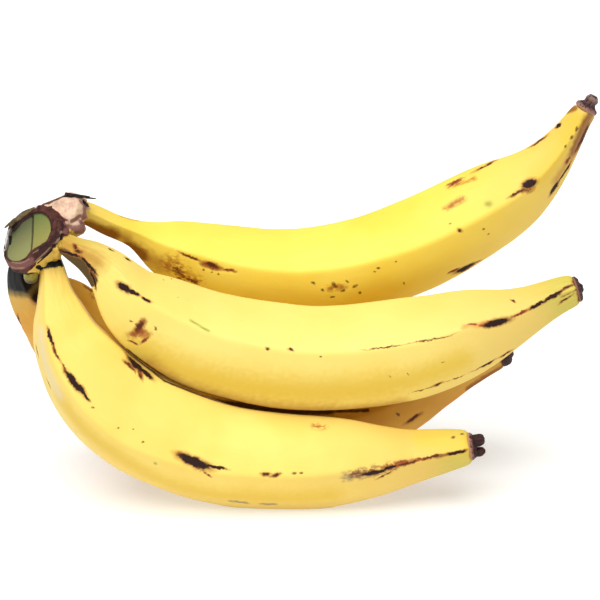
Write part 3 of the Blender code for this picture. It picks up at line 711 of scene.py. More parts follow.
def voxel_body(shells, voxel, smoothing):
    """Points, normals and faces of one skin over closed shells that overlap."""
    points, faces = join_shells(shells)
    body = make_mesh("shells", points, faces)
    remesh = body.modifiers.new("remesh", "REMESH")
    remesh.mode = "VOXEL"
    remesh.voxel_size = voxel * MM
    smooth = body.modifiers.new("smooth", "SMOOTH")
    smooth.factor = 0.5
    smooth.iterations = smoothing
    shape = bpy.context.evaluated_depsgraph_get()
    shape.update()
    result = bpy.data.meshes.new_from_object(body.evaluated_get(shape))
    places = np.empty(len(result.vertices) * 3)
    result.vertices.foreach_get("co", places)
    normals = np.empty(len(result.vertices) * 3)
    result.vertex_normals.foreach_get("vector", normals)
    corners = [tuple(face.vertices) for face in result.polygons]
    bpy.data.objects.remove(body, do_unlink=True)
    return places.reshape(-1, 3) / MM, normals.reshape(-1, 3), corners


def skin_relief(straight, share, seed):
    """How far the skin stands out of its plain section: soft dents, and wrinkles at the neck and tip."""
    dents = noise_height(straight, SKIN_DENTS, seed)
    wrinkles = noise_height(straight, SKIN_WRINKLES, seed)
    ends = smoothstep(share, *WRINKLED_NECK) + smoothstep(share, *WRINKLED_TIP)
    return dents * (1 - DENTS_LOST * ends[:, None]) + wrinkles * ends[:, None]


def swelling(name, share, angles):
    """Extra height of the skin where a fruit swells towards its neighbour, one row a ring."""
    if name not in SWELLS:
        return 0.0
    middle, reach, turned, height = SWELLS[name]
    along = smoothstep(np.abs(share - middle), reach, 0.0)
    away = np.abs((np.degrees(angles) - turned + 180) % 360 - 180)
    return height * along[:, None] * smoothstep(away, SWELL_ROUND, 0.0)


def length_along(line):
    """Length of a line from its start to each of its places."""
    return np.concatenate(([0.0], np.cumsum(np.linalg.norm(np.diff(line[:, :3], axis=0), axis=1))))


def fruit_surface(name):
    """Points of the skin ring by ring, the same on the straightened fruit, and the way outward at each."""
    line = smooth_line(FRUITS[name], SKIN_RINGS)
    front, hollow = line_frames(line)[1:]
    gone = length_along(line)
    share = gone / gone[-1]
    turns = np.radians(np.interp(share, (0.0, 0.5, 1.0), RIDGE_TURN[name]))
    sharpness = MIDDLE_SHARPNESS + (END_SHARPNESS - MIDDLE_SHARPNESS) * np.abs(2 * share - 1) ** 3
    sides = full_turn(SKIN_SIDES)
    section = np.array([ridged_section(sides, value) for value in sharpness])
    angles = sides[None, :] + turns[:, None]
    tip = np.clip(1 - (gone[-1] - gone) / TIP_ROUND, 0.0, 1.0)
    drawn_in = 1 - TIP_SHRINK * (1 - np.sqrt(1 - tip * tip))
    reach = line[:, 3:4] * drawn_in[:, None] * section
    around = np.stack((np.cos(angles), np.sin(angles)), axis=-1)
    straight = np.dstack((np.broadcast_to(gone[:, None], reach.shape), around * reach[..., None]))
    reach = reach + skin_relief(straight, share, SKIN_SEEDS[name]) + swelling(name, share, angles)
    across = around * reach[..., None]
    skin = line[:, None, :3] + across[..., :1] * front[:, None] + across[..., 1:] * hollow[:, None]
    low = np.clip(skin[..., 2] / REST_EASE, 0.0, 1.0)
    eased = REST_EASE * low * low * (2 - low)
    skin[..., 2] = np.where(skin[..., 2] < REST_EASE, eased, skin[..., 2])
    outward = around[..., :1] * front[:, None] + around[..., 1:] * hollow[:, None]
    return skin.reshape(-1, 3), straight.reshape(-1, 3), outward.reshape(-1, 3)


def capsule_distance(points, start, end, half_width):
    """Distance of points from the segment, as a share of the half width."""
    run = end - start
    share = np.clip(((points - start) @ run) / max(run @ run, 1e-6), 0.0, 1.0)
    return np.linalg.norm(points - start - share[:, None] * run, axis=1) / half_width


def path_distance(points, spots, half_width):
    """Distance of points from a path through the spots, as a share of the half width."""
    ends = zip(spots, spots[1:])
    return np.min([capsule_distance(points, start, end, half_width) for start, end in ends], axis=0)


def pick(fruit, pixel):
    """The place on the straightened fruit that the camera sees at a pixel, or the nearest on its outline."""
    direction = pixel_direction(pixel)
    face = fruit["tree"].ray_cast(Vector(EYE), Vector(direction))[2]
    if face is None:
        return fruit["straight"][off_sight(fruit["points"], direction).argmin()]
    corners = list(fruit["faces"][face])
    weights = 1 / (off_sight(fruit["points"][corners], direction) + 0.01)
    return (fruit["straight"][corners] * weights[:, None]).sum(axis=0) / weights.sum()


class Nodes:
    """Short calls for the nodes of one material."""

    def __init__(self, name):
        self.material = bpy.data.materials.new(name)
        self.material.use_nodes = True
        self.tree = self.material.node_tree
        self.surface = self.tree.nodes["Principled BSDF"]

    def put(self, socket, value):
        if isinstance(value, bpy.types.NodeSocket):
            self.tree.links.new(value, socket)
        elif isinstance(value, (tuple, list)) and len(value) == 3 and socket.type == "RGBA":
            socket.default_value = (*value, 1.0)
        else:
            socket.default_value = value

    def add(self, kind, inputs, **settings):
        """A new node of one kind with its settings and its inputs."""
        node = self.tree.nodes.new("ShaderNode" + kind)
        for key, value in settings.items():
            setattr(node, key, value)
        for socket, value in inputs.items():
            self.put(node.inputs[socket], value)
        return node

    def attribute(self, name):
        return self.add("Attribute", {}, attribute_name=name).outputs["Vector"]

    def parts(self, vector):
        return self.add("SeparateXYZ", {0: vector}).outputs

    def by_kind(self, prefix, sets):
        """The value of each kind in the attributes named by the prefix."""
        values = {}
        for i, kinds in enumerate(sets):
            values.update(zip(kinds, self.parts(self.attribute(f"{prefix}_{i}"))))
        return values

    def math(self, operation, first, second=0.0, clamp=False):
        return self.add("Math", {0: first, 1: second}, operation=operation, use_clamp=clamp).outputs[0]

    def vector(self, operation, first, second=(0.0, 0.0, 0.0)):
        node = self.add("VectorMath", {0: first, 1: second}, operation=operation)
        return node.outputs["Value" if operation in ("LENGTH", "DOT_PRODUCT") else "Vector"]

    def plus(self, first, second):
        return self.math("ADD", first, second)

    def times(self, first, second):
        return self.math("MULTIPLY", first, second)

    def noise(self, vector, kind, colour=False):
        scale, detail, roughness = NOISES[kind]
        inputs = {"Vector": vector, "Scale": scale, "Detail": detail, "Roughness": roughness}
        return self.add("TexNoise", inputs).outputs["Color" if colour else "Fac"]

    def fade(self, value, low, high):
        """0 at low, 1 at high, smooth between them."""
        flip = float(low > high)
        inputs = {"Value": value, "From Min": min(low, high), "From Max": max(low, high),
                  "To Min": flip, "To Max": 1.0 - flip}
        return self.add("MapRange", inputs, interpolation_type="SMOOTHSTEP").outputs["Result"]

    def mix(self, share, first, second):
        return self.add("Mix", {"Factor": share, 6: first, 7: second}, data_type="RGBA").outputs[2]

    def blend(self, share, strength, first, second):
        return self.mix(self.times(share, strength), first, second)

    def tones(self, noise, low, high, first, second):
        return self.mix(self.fade(noise, low, high), first, second)

    def spots(self, noise, colour, low, high, strength, paint):
        return self.blend(self.fade(noise, low, high), strength, colour, paint)

    def warp(self, vector, kind, amount):
        """The vector pushed about by noise, by up to about half the amount each way."""
        push = self.vector("SUBTRACT", self.noise(vector, kind, colour=True), (0.5, 0.5, 0.5))
        return self.vector("ADD", vector, self.vector("MULTIPLY", push, (amount, amount, amount)))

    def capsule(self, vector, start, end, half_width):
        """0 at the middle of a long spot from start to end, 1 at its edge."""
        start, end = Vector(start), Vector(end)
        length = (end - start).length / 2 + half_width
        turn = (end - start).to_track_quat("X", "Z").to_euler()
        inputs = {"Vector": vector, "Location": (start + end) / 2, "Rotation": turn,
                  "Scale": (length, half_width, half_width)}
        node = self.add("Mapping", inputs, vector_type="TEXTURE")
        return self.vector("LENGTH", node.outputs["Vector"])

    def finish(self, kind, colour, height, uneven=()):
        """The finished material; its roughness rises by each uneven value times the share beside it."""
        roughness, depth, specular = FINISHES[kind]
        for value, rise in uneven:
            roughness = self.plus(roughness, self.times(value, rise))
        bump = self.add("Bump", {"Distance": depth * MM, "Height": height})
        self.put(self.surface.inputs["Base Color"], colour)
        self.put(self.surface.inputs["Roughness"], roughness)
        self.put(self.surface.inputs["Normal"], bump.outputs["Normal"])
        self.surface.inputs["Specular IOR Level"].default_value = specular
        return self.material


def unseen_marks(name, fruit):
    """Streaks along the ridges and specks on the sides that face away from the camera, by seeded chance."""
    chance = random.Random(SKIN_SEEDS[name])
    straight = fruit["straight"].reshape(SKIN_RINGS, SKIN_SIDES, 3)
    ridges = [round(ridge / 360 * SKIN_SIDES) for ridge in STREAK_RIDGES]
    marks = []
    count, *span = STREAKS
    for i in range(count):
        ring = int(chance.uniform(*span) * SKIN_RINGS)
        rings_long = int(chance.uniform(*STREAK_RINGS))
        side = chance.choice(ridges) + chance.randint(-1, 1)
        start = straight[ring, side]
        end = straight[min(ring + rings_long, SKIN_RINGS - 1), side + chance.randint(-1, 1)]
        kind = chance.choice(("dark", "brown", "brown", "red"))
        marks.append((kind, chance.uniform(*STREAK_WIDTHS), start, end))
    count, *span = SPECKS
    for i in range(count):
        ring = int(chance.uniform(*span) * SKIN_RINGS)
        side = int(chance.uniform(*SPECK_SIDES) / 360 * SKIN_SIDES)
        place = straight[ring, side]
        width = chance.uniform(*SPECK_WIDTHS)
        marks.append((chance.choice(("dot", "dot", "brown")), width, place, place + (width, 0, 0)))
    count, *span = PATCHES
    for i in range(count):
        ring = int(chance.uniform(*span) * SKIN_RINGS)
        side = int(chance.uniform(*PATCH_SIDES) / 360 * SKIN_SIDES)
        end = straight[ring + PATCH_RUN[0], side + PATCH_RUN[1]]
        marks.append(("rust", chance.uniform(*PATCH_WIDTHS), straight[ring, side], end))
    return marks


def skin_marks(name, fruit):
    """Every mark as its kind, its half width and its two ends on the straightened fruit."""
    seen = [(kind, width, pick(fruit, ends[:2]), pick(fruit, ends[2:]))
            for kind, *strokes in MARKS[name].values() for width, *ends in strokes]
    return seen + unseen_marks(name, fruit)


def skin_colour(nodes, name, along, clouds, seeded, length):
    """The yellow of the skin, greener at the tip and duller at both ends; on the lower rear fruit the far end
    is painted orange as shade.
    """
    yellow, deep, greenness = SKIN_COLOURS[name]
    neck_colour, neck_share = SKIN_NECKS[name]
    far_end = REAR_END_SHADE if name == "fruit_lower_rear" else SKIN_DULL
    colour = nodes.tones(nodes.noise(seeded, "skin blotches"), *TONE_SPAN, yellow, deep)
    colour = nodes.spots(clouds, colour, *CLOUD_SPOTS)
    ragged = nodes.plus(along, nodes.times(clouds, CLOUD_PUSH))
    dull = nodes.fade(ragged, *(length * share for share in DULL_SPAN))
    colour = nodes.blend(dull, DULL_SHARE, colour, far_end)
    tip = nodes.fade(ragged, *(length + past for past in GREEN_SPAN))
    colour = nodes.blend(tip, greenness, colour, SKIN_GREEN)
    colour = nodes.blend(nodes.fade(ragged, *NECK_SPAN), neck_share, colour, neck_colour)
    return nodes.spots(nodes.noise(seeded, "skin flecks"), colour, *FLECK_SPOTS)


def paint_marks(nodes, colour, marks, place, seeded):
    """The colour with every mark on it, and how far each point is a scar."""
    ragged = nodes.warp(nodes.warp(place, "mark edge", MARK_EDGE), "mark drift", MARK_DRIFT)
    patches = nodes.noise(nodes.vector("MULTIPLY", seeded, HOLES_STRETCH), "mark holes")
    soft = nodes.by_kind("soft", SOFT_KINDS)
    scar = 0.0
    kinds_here = {mark[0] for mark in marks}
    for kind, (paint, full, gone, patchy, strength) in MARK_KINDS.items():
        if kind not in kinds_here:
            continue
        nearest = soft.get(kind)
        for width, start, end in [mark[1:] for mark in marks if mark[0] == kind and kind not in soft]:
            spot = nodes.capsule(ragged, start, end, width)
            nearest = spot if nearest is None else nodes.math("MINIMUM", nearest, spot)
        if kind in HALO_KINDS:
            colour = nodes.blend(nodes.fade(nearest, HALO_GONE, HALO_FULL), HALO_STRENGTH, colour, HALO)
        if patchy:
            nearest = nodes.plus(nearest, nodes.times(nodes.fade(patches, *HOLES_SPAN), patchy))
        share = nodes.times(nodes.fade(nearest, gone, full), strength)
        colour = nodes.mix(share, colour, paint)
        if kind in SCAR_KINDS:
            scar = nodes.math("MAXIMUM", scar, share)
    return colour, scar


def skin_material(name, marks, length):
    nodes = Nodes(name.replace("fruit", "skin"))
    place = nodes.attribute("straight")
    along = nodes.parts(place)[0]
    seeded = nodes.vector("ADD", place, (SKIN_SEEDS[name] * SEED_STEP, 0.0, 0.0))
    clouds = nodes.noise(nodes.vector("MULTIPLY", seeded, CLOUD_STRETCH), "skin clouds")
    colour = skin_colour(nodes, name, along, clouds, seeded, length)
    colour, scar = paint_marks(nodes, colour, marks, place, seeded)
    torn = nodes.plus(along, nodes.times(nodes.noise(seeded, "neck edge"), NECK_TEAR))
    for paint, start, end, soft in NECK_BANDS.get(name, ()):
        start, end = start + NECK_TEAR / 2, end + NECK_TEAR / 2
        after = nodes.fade(torn, start - soft, start + soft)
        before = nodes.fade(torn, end + soft, end - soft)
        colour = nodes.blend(after, before, colour, paint)
    fibres = nodes.noise(nodes.vector("MULTIPLY", seeded, FIBRE_STRETCH), "skin fibres")
    pores = nodes.noise(seeded, "skin pores")
    height = nodes.plus(nodes.times(fibres, FIBRE_HEIGHT), nodes.times(pores, PORE_HEIGHT))
    return nodes.finish("skin", colour, height, ((clouds, CLOUD_ROUGHNESS), (scar, SCAR_ROUGHNESS)))


def mark_distances(straight, marks, kinds):
    """Distance of each point from each mark of some kinds, as shares of the half widths, a row a mark."""
    return [capsule_distance(straight, start, end, width)
            for kind, width, start, end in marks if kind in kinds]


def soft_distance(straight, marks, kind):
    """Distance of each point from the nearest mark of one kind, with a ragged edge."""
    away = mark_distances(straight, marks, (kind,)) + [np.full(len(straight), FAR_AWAY)]
    return np.min(away, axis=0) + noise_height(straight, SOFT_EDGE)


def build_fruit(name):
    points, straight, outward = fruit_surface(name)
    faces = grid_faces(SKIN_RINGS, SKIN_SIDES)
    tree = BVHTree.FromPolygons(points.tolist(), faces)
    fruit = {"points": points, "straight": straight, "faces": faces, "tree": tree}
    marks = skin_marks(name, fruit)
    scars = np.min(mark_distances(straight, marks, SCAR_KINDS), axis=0)
    sunk = smoothstep(scars, *SCAR_SPAN) * SCAR_DEPTH
    fields = [("straight", straight)]
    fields += by_threes("soft", SOFT_KINDS, lambda kind: soft_distance(straight, marks, kind))
    piece = make_mesh(name.replace("fruit", "skin"), points - outward * sunk[:, None], faces, fields)
    piece.data.materials.append(skin_material(name, marks, float(straight[:, 0].max())))
    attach(piece, "root")
    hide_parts(name)


def round_ring(centre, first, second, radius):
    angles = full_turn(CROWN_SIDES)
    return centre + (np.cos(angles)[:, None] * first + np.sin(angles)[:, None] * second) * radius


def hull_shell(points):
    """Points and faces of the tight convex body round the points."""
    body = bmesh.new()
    for point in points:
        body.verts.new(Vector(point))
    bmesh.ops.convex_hull(body, input=body.verts)
    loose = [point for point in body.verts if not point.link_faces]
    bmesh.ops.delete(body, geom=loose, context="VERTS")
    bmesh.ops.recalc_face_normals(body, faces=body.faces)
    body.verts.index_update()
    shell = ([tuple(point.co) for point in body.verts],
             [tuple(point.index for point in face.verts) for face in body.faces])
    body.free()
    return shell


def crown_axes():
    normal = unit(FACE_NORMAL)
    long_way = unit(np.array(FACE_LONG_WAY) - normal * np.dot(FACE_LONG_WAY, normal))
    return long_way, np.cross(normal, long_way), normal


def collar_place(name):
    """Middle, direction, front, hollow side and neck radius where a fruit's collar ends."""
    line = smooth_line(FRUITS[name], LINE_PLACES)
    ahead, front, hollow = line_frames(line)
    place = int(np.searchsorted(length_along(line)[1:], COLLARS[name][0]))
    return line[place, :3], ahead[place], front[place], hollow[place], line[place, 3]


def closed_curve(points, count):
    """Evenly counted places on a smooth closed curve through the points."""
    points = np.array(points, dtype=float)
    before, after, beyond = (np.roll(points, -shift, axis=0) for shift in (-1, 1, 2))
    places = []
    for i in range(count):
        whole = i * len(points) / count
        at = int(whole)
        t = whole - at
        places.append(0.5 * (2 * points[at] + (after[at] - before[at]) * t
                             + (2 * before[at] - 5 * points[at] + 4 * after[at] - beyond[at]) * t ** 2
                             + (3 * points[at] - before[at] - 3 * after[at] + beyond[at]) * t ** 3))
    return np.array(places)


def crown_shells():
    long_way, short_way, normal = crown_axes()
    rim = closed_curve(RIM, 2 * CROWN_SIDES)
    rim = rim[:, :1] * long_way + rim[:, 1:] * short_way
    slab = [FACE_CENTRE - normal * depth + rim * share for depth, share in SLAB]
    shells = [hull_shell(np.vstack(slab))]
    for i, name in enumerate(COLLARS):
        root = FACE_CENTRE - normal * (LOBE_DEPTH + LOBE_STEP * i)
        middle, ahead, front, hollow, radius = collar_place(name)
        rings = [round_ring(root, long_way, short_way, LOBE_ROOT)]
        rings += [round_ring(middle - ahead * back, front, hollow, radius + COLLARS[name][1])
                  for back in (0.0, COLLAR_LENGTH)]
        if name == "fruit_upper_rear":
            rings.append(round_ring(SHOULDER[0], front, hollow, SHOULDER[1]))
        shells.append(hull_shell(np.vstack(rings)))
    middle, ahead, front, hollow, radius = collar_place("fruit_upper_rear")
    for places in (WEB, TOP_WEB):
        web = [round_ring(np.array(centre), turned, hollow, reach)
               for centre, reach in places for turned in (front, ahead)]
        shells.append(hull_shell(np.vstack(web)))
    return shells


def face_place(pixel):
    """Where the line of sight at a pixel meets the plane of the cut face, along its long and short ways."""
    long_way, short_way, normal = crown_axes()
    direction = pixel_direction(pixel)
    reach = (FACE_CENTRE - EYE) @ normal / (direction @ normal)
    offset = EYE + direction * reach - FACE_CENTRE
    return np.array((offset @ long_way, offset @ short_way))


def outline_distance(places, outline):
    """Distance of flat places from a closed outline, below zero inside."""
    nearest = np.full(len(places), np.inf)
    inside = np.zeros(len(places), dtype=bool)
    for start, end in zip(outline, np.roll(outline, -1, axis=0)):
        nearest = np.minimum(nearest, capsule_distance(places, start, end, 1.0))
        crosses = (start[1] > places[:, 1]) != (end[1] > places[:, 1])
        rise = end[1] - start[1] if end[1] != start[1] else 1e-9
        meets = start[0] + (places[:, 1] - start[1]) * (end[0] - start[0]) / rise
        inside ^= crosses & (places[:, 0] < meets)
    return np.where(inside, -nearest, nearest)


def crown_material():
    nodes = Nodes("crown")
    place = nodes.attribute("place")
    cut, low, right = nodes.parts(nodes.attribute("flesh"))[:3]
    masks = nodes.by_kind("paint", CROWN_KINDS)
    masks["cut"] = cut
    grain = nodes.noise(place, "crown grain")
    patches = nodes.noise(place, "crown patches")
    cells = nodes.noise(nodes.vector("ADD", place, CELLS_SHIFT), "crown cells")

    def edge(kind):
        spread, soft = EDGES[kind]
        torn = nodes.times(nodes.math("SUBTRACT", cells, 0.5), spread)
        return nodes.fade(nodes.plus(masks[kind], torn), 0.5 - soft, 0.5 + soft)

    def glaze(colour, kind):
        strength, paint = GLAZES[kind]
        return nodes.blend(edge(kind), strength, colour, paint)

    colour = nodes.spots(grain, nodes.tones(patches, *PEEL_TONES), *PEEL_FIBRES)
    flank = nodes.spots(cells, nodes.tones(patches, *FLANK_TONES), *FLANK_SPOTS)
    colour = glaze(nodes.mix(edge("flank"), colour, flank), "purple")
    colour = nodes.mix(edge("khaki"), colour, nodes.tones(grain, *KHAKI_TONES))
    colour = glaze(glaze(colour, "pink"), "pale")
    # the flesh is painted darker towards the top, a painted shade
    flesh = nodes.mix(right, nodes.mix(low, *FLESH_LEFT), nodes.mix(low, *FLESH_RIGHT))
    colour = nodes.mix(edge("cut"), colour, nodes.spots(cells, flesh, *FLESH_SPOTS))
    colour = glaze(glaze(colour, "shade"), "tan")
    colour = nodes.mix(edge("olive"), colour, PEDICEL)
    colour = nodes.mix(edge("black"), colour, BLACK)
    height = nodes.plus(nodes.times(grain, GRAIN_HEIGHT), nodes.times(cells, CELLS_HEIGHT))
    return nodes.finish("crown", colour, height, ((cells, CELL_ROUGHNESS),))


def crown_paint(points, faces, depth):
    """How far each point of the crown is of each kind of paint."""
    paint = {kind: np.zeros(len(points)) for kinds in CROWN_KINDS for kind in kinds}
    tree = BVHTree.FromPolygons(points.tolist(), faces)
    strokes = [(kind, *stroke) for kind, *strokes in CROWN_PAINT.values() for stroke in strokes]
    for kind, half_width, *path in strokes:
        spots = []
        for pixel in zip(path[::2], path[1::2]):
            direction = pixel_direction(pixel)
            spot = tree.ray_cast(Vector(EYE), Vector(direction))[0]
            if spot is None:
                spot = points[off_sight(points, direction).argmin()]
            spots.append(np.array(spot))
        painted = smoothstep(path_distance(points, spots, half_width), *PAINT_SPAN)
        paint[kind] = np.maximum(paint[kind], painted)
    behind_rim = smoothstep(depth, *BEHIND_RIM)
    for kind, name, reach in LOBE_PAINT:
        middle = collar_place(name)[0]
        run = middle - FACE_CENTRE
        share = (points - FACE_CENTRE) @ run / (run @ run)
        far_enough = smoothstep(share, reach - LOBE_PAINT_SOFT, reach + LOBE_PAINT_SOFT)
        near_enough = smoothstep(np.linalg.norm(points - middle, axis=1), *LOBE_PAINT_REACH)
        paint[kind] = np.maximum(paint[kind], behind_rim * far_enough * near_enough)
    return paint


def cut_face(points, normals):
    """Of each point: depth behind the face, and how far it is flesh, crease, dark rim, low (for the flesh's
    painted shade, darker at the top) and right.
    """
    long_way, short_way, normal = crown_axes()
    offset = points - FACE_CENTRE
    places = np.stack((offset @ long_way, offset @ short_way), axis=1)
    depth = -(offset @ normal)
    on_face = smoothstep(normals @ normal, *FACE_TURN) * smoothstep(depth, *FACE_DEPTH)
    outline = closed_curve([face_place(pixel) for pixel in CUT_OUTLINE], 3 * len(CUT_OUTLINE))
    from_edge = outline_distance(places, outline)
    flesh = smoothstep(from_edge, *CUT_EDGE) * on_face
    line = [face_place(pixel) for pixel in CREASE]
    crease = smoothstep(path_distance(places, line, CREASE_WIDTH), *CREASE_SPAN) * flesh
    rim = smoothstep(np.abs(from_edge - DARK_RIM_PLACE), *DARK_RIM_SPAN) * on_face * DARK_RIM_SHARE
    top, bottom = face_place(FLESH_TOP), face_place(FLESH_BOTTOM)
    low = smoothstep((places - top) @ (bottom - top) / ((bottom - top) @ (bottom - top)), 0.0, 1.0)
    across = line[-1] - line[0]
    aside = places - line[0]
    right = smoothstep(across[0] * aside[:, 1] - across[1] * aside[:, 0], *CREASE_SIDES)
    return depth, flesh, crease, rim, low, right


def crown_relief(points, normals, flesh, crease):
    """The crown's points with its lumps and fibres, the shrunk flesh and the torn ends of its collars."""
    lumps = noise_height(points, CROWN_LUMPS) * (1 - LUMPS_LOST * flesh)
    fibres = noise_height(points, CROWN_FIBRES) * (1 - FIBRES_LOST * flesh)
    moved = points + normals * (lumps + fibres)[:, None]
    moved -= crown_axes()[2] * (flesh * CUT_DEPTH + crease * CREASE_DEPTH)[:, None]
    for i, name in enumerate(COLLARS):
        middle, ahead, *_, radius = collar_place(name)
        from_end = points - middle
        along = from_end @ ahead
        aside = np.linalg.norm(from_end - along[:, None] * ahead, axis=1)
        near = smoothstep(along, *TEAR_SPAN)
        near = near * smoothstep(aside, *(radius + reach for reach in TEAR_REACH))
        moved += ahead * (near * noise_height(points, COLLAR_TEARS, i))[:, None]
    return moved


def build_crown():
    points, normals, faces = voxel_body(crown_shells(), CROWN_VOXEL, CROWN_SMOOTHING)
    depth, flesh, crease, rim, low, right = cut_face(points, normals)
    paint = crown_paint(points, faces, depth)
    paint["shade"] = np.max((paint["shade"], rim, crease), axis=0)
    fields = [("flesh", np.stack((flesh, low, right), axis=1)), ("place", points)]
    fields += by_threes("paint", CROWN_KINDS, paint.get)
    moved = crown_relief(points, normals, flesh, crease)
    piece = make_mesh("cut_crown", moved, faces, fields)
    piece.data.materials.append(crown_material())
    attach(piece, "root")
    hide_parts("crown")


def sliver_shell(root, tip, width, half_thickness, seed):
    """Points and faces of one flat torn blade that curls a little towards its tip."""
    root, tip = np.array(root, dtype=float), np.array(tip, dtype=float)
    run = unit(tip - root)
    side = unit(np.cross(run, (0, 0, 1)))
    rise = np.cross(side, run)
    chance = random.Random(seed)
    curl = chance.uniform(*SLIVER_CURL)
    points = []
    for i in range(SLIVER_RINGS):
        share = i / (SLIVER_RINGS - 1)
        centre = root - run * SLIVER_FOOT * (1 - share) + (tip - root) * share + rise * curl * share * share
        taper = (1 - share ** 3) ** 0.6
        half = width / 2 * taper * (1 + chance.uniform(*SLIVER_TEARS)) + SLIVER_LEAST
        for j in range(SLIVER_SIDES):
            angle = 2 * math.pi * j / SLIVER_SIDES
            thickness = half_thickness * (1 - SLIVER_THINNING * share)
            points.append(centre + side * half * math.cos(angle) + rise * thickness * math.sin(angle))
    return points, grid_faces(SLIVER_RINGS, SLIVER_SIDES)


def sliver_material(kind):
    nodes = Nodes("bract_" + kind)
    fine = nodes.noise(nodes.attribute("place"), "bract")
    return nodes.finish("bract", nodes.tones(fine, *SLIVER_SPAN, *SLIVER_COLOURS[kind]), fine)


def build_slivers():
    blades = [sliver_shell(*sliver[1:], i) for i, sliver in enumerate(SLIVERS)]
    points, faces = join_shells(blades)
    slots = []
    for sliver, blade in zip(SLIVERS, blades):
        slots += [list(SLIVER_COLOURS).index(sliver[0])] * len(blade[1])
    piece = make_mesh("bract_slivers", points, faces, [("place", points)])
    for kind in SLIVER_COLOURS:
        piece.data.materials.append(sliver_material(kind))
    piece.data.polygons.foreach_set("material_index", slots)
    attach(piece, "root")


def turned_shell(profile, foot, ahead, front, hollow):
    """Points and faces of a body turned round an axis from distances along it and radii."""
    shape = smooth_line([(distance, radius, 0, 0) for distance, radius in profile], TURNED_RINGS)
    angles = full_turn(TURNED_SIDES)
    around = np.cos(angles)[:, None] * front + np.sin(angles)[:, None] * hollow
    points = [foot + ahead * ring[0] + around * max(ring[1], LEAST_RADIUS) for ring in shape]
    return np.vstack(points), grid_faces(TURNED_RINGS, TURNED_SIDES)


def along_ramp(nodes, distance, stops):
    """Colour by distance, through stops of distance and colour."""
    last = stops[-1][0]
    ramp = nodes.tree.nodes.new("ShaderNodeValToRGB")
    nodes.put(ramp.inputs[0], nodes.math("DIVIDE", distance, last, clamp=True))
    while len(ramp.color_ramp.elements) < len(stops):
        ramp.color_ramp.elements.new(0.5)
    for element, (stop, colour) in zip(ramp.color_ramp.elements, stops):
        element.position = stop / last
        element.color = (*colour, 1.0)
    return ramp.outputs["Color"]


def dry_end_material(name):
    nodes = Nodes(name.replace("fruit", "flower_end"))
    place = nodes.attribute("place")
    beyond, relief = nodes.parts(nodes.attribute("along"))[:2]
    fine = nodes.noise(place, "flower end")
    ragged = nodes.plus(beyond, nodes.times(nodes.math("SUBTRACT", fine, 0.5), END_RAGGED))
    colour = along_ramp(nodes, ragged, END_COLOURS[name])
    # the creases of the folds are painted darker, a painted shade
    low, high, crease = END_CREASE_SHADE
    colour = nodes.tones(relief, low, high, colour, crease)
    return nodes.finish("flower end", nodes.spots(fine, colour, *END_SPOTS), fine)


def build_dry_end(name):
    line = smooth_line(FRUITS[name], LINE_PLACES)
    ahead, front, hollow = (vectors[-1] for vectors in line_frames(line))
    end = line[-1, :3] + ahead * END_GAP
    shells = [turned_shell(DRY_ENDS[name], end, ahead, front, hollow)]
    if name == "fruit_lower_front":
        for height, radius, length in KNOBS:
            profile = [(length * far, radius * wide) for far, wide in KNOB_SHAPE]
            shells.append(turned_shell(profile, end + hollow * height, ahead, front, hollow))
    points, normals, faces = voxel_body(shells, END_VOXEL, END_SMOOTHING)
    offset = points - end
    distance = offset @ ahead
    folds = np.stack((distance, offset @ front, offset @ hollow), axis=1) * END_STRETCH
    seed = SKIN_SEEDS[name]
    relief = noise_height(folds, END_FOLDS, seed) + noise_height(points, END_GRAIN, seed)
    relief *= smoothstep(distance, *END_EASE)
    moved = points + normals * relief[:, None]
    piece = make_mesh(name.replace("fruit", "flower_end"), moved, faces, [
        ("place", points), ("along", np.stack((distance, relief, distance), axis=1))])
    piece.data.materials.append(dry_end_material(name))
    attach(piece, "root")
    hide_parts(name.replace("fruit", "dry_end"))


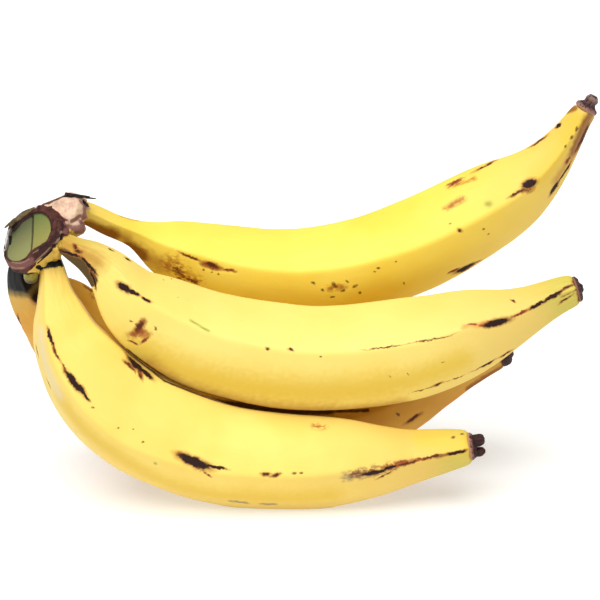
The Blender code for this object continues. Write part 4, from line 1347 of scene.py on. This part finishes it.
def build_stub():
    root, tip = np.array(STUB_ROOT), np.array(STUB_TIP)
    ahead = unit(tip - root)
    front = unit(np.array((0.0, -1.0, 0.0)) + ahead * ahead[1])
    points, faces = turned_shell(STUB_PROFILE, root, ahead, front, np.cross(front, ahead))
    middle = root + ahead * np.clip((points - root) @ ahead, 0.0, None)[:, None]
    outward = points - middle
    points = points + outward * noise_height(points, STUB_LUMPS)[:, None]
    piece = make_mesh("small_finger", points, faces, [("place", points - root)])
    nodes = Nodes("small_finger")
    place = nodes.attribute("place")
    fine = nodes.noise(place, "small finger")
    down = nodes.vector("DOT_PRODUCT", place, tuple(ahead))
    colour = nodes.tones(fine, *STUB_TONES)
    for begins, full, dark in STUB_ENDS:
        colour = nodes.tones(down, begins, full, colour, dark)
    piece.data.materials.append(nodes.finish("small finger", colour, fine))
    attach(piece, "root")
    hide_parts("stub_finger")


def studio():
    bpy.ops.mesh.primitive_plane_add(size=FLOOR_SIZE, location=(0.0, 0.0, 0.0))
    floor = bpy.context.object
    floor.name = "floor"
    nodes = Nodes("pale_floor")
    for socket, value in FLOOR_VALUES.items():
        nodes.surface.inputs[socket].default_value = value
    floor.data.materials.append(nodes.material)
    world = bpy.data.worlds.new("studio")
    world.use_nodes = True
    world.node_tree.nodes["Background"].inputs["Color"].default_value = WHITE
    world.node_tree.nodes["Background"].inputs["Strength"].default_value = WORLD_STRENGTH
    bpy.context.scene.world = world
    for name, (place, spread, strength) in LIGHTS.items():
        light = bpy.data.lights.new(name, "SUN")
        light.angle = math.radians(spread)
        light.energy = strength
        lamp = add_object(name, light)
        lamp.location = place
        lamp.rotation_euler = (Vector(AIM) * MM - Vector(place)).to_track_quat("-Z", "Y").to_euler()
    camera = add_object("camera", bpy.data.cameras.new("camera"))
    camera.data.sensor_width = SENSOR_WIDTH
    camera.data.lens = FOCAL_LENGTH / IMAGE_SIZE * SENSOR_WIDTH
    camera.location = Vector(EYE) * MM
    camera.rotation_euler = (math.pi / 2 - CAMERA_TILT, 0.0, 0.0)
    bpy.context.scene.camera = camera
    bpy.context.scene.view_settings.view_transform = "Standard"


for name in FRUITS:
    build_fruit(name)
    build_dry_end(name)
build_crown()
build_slivers()
build_stub()
studio()
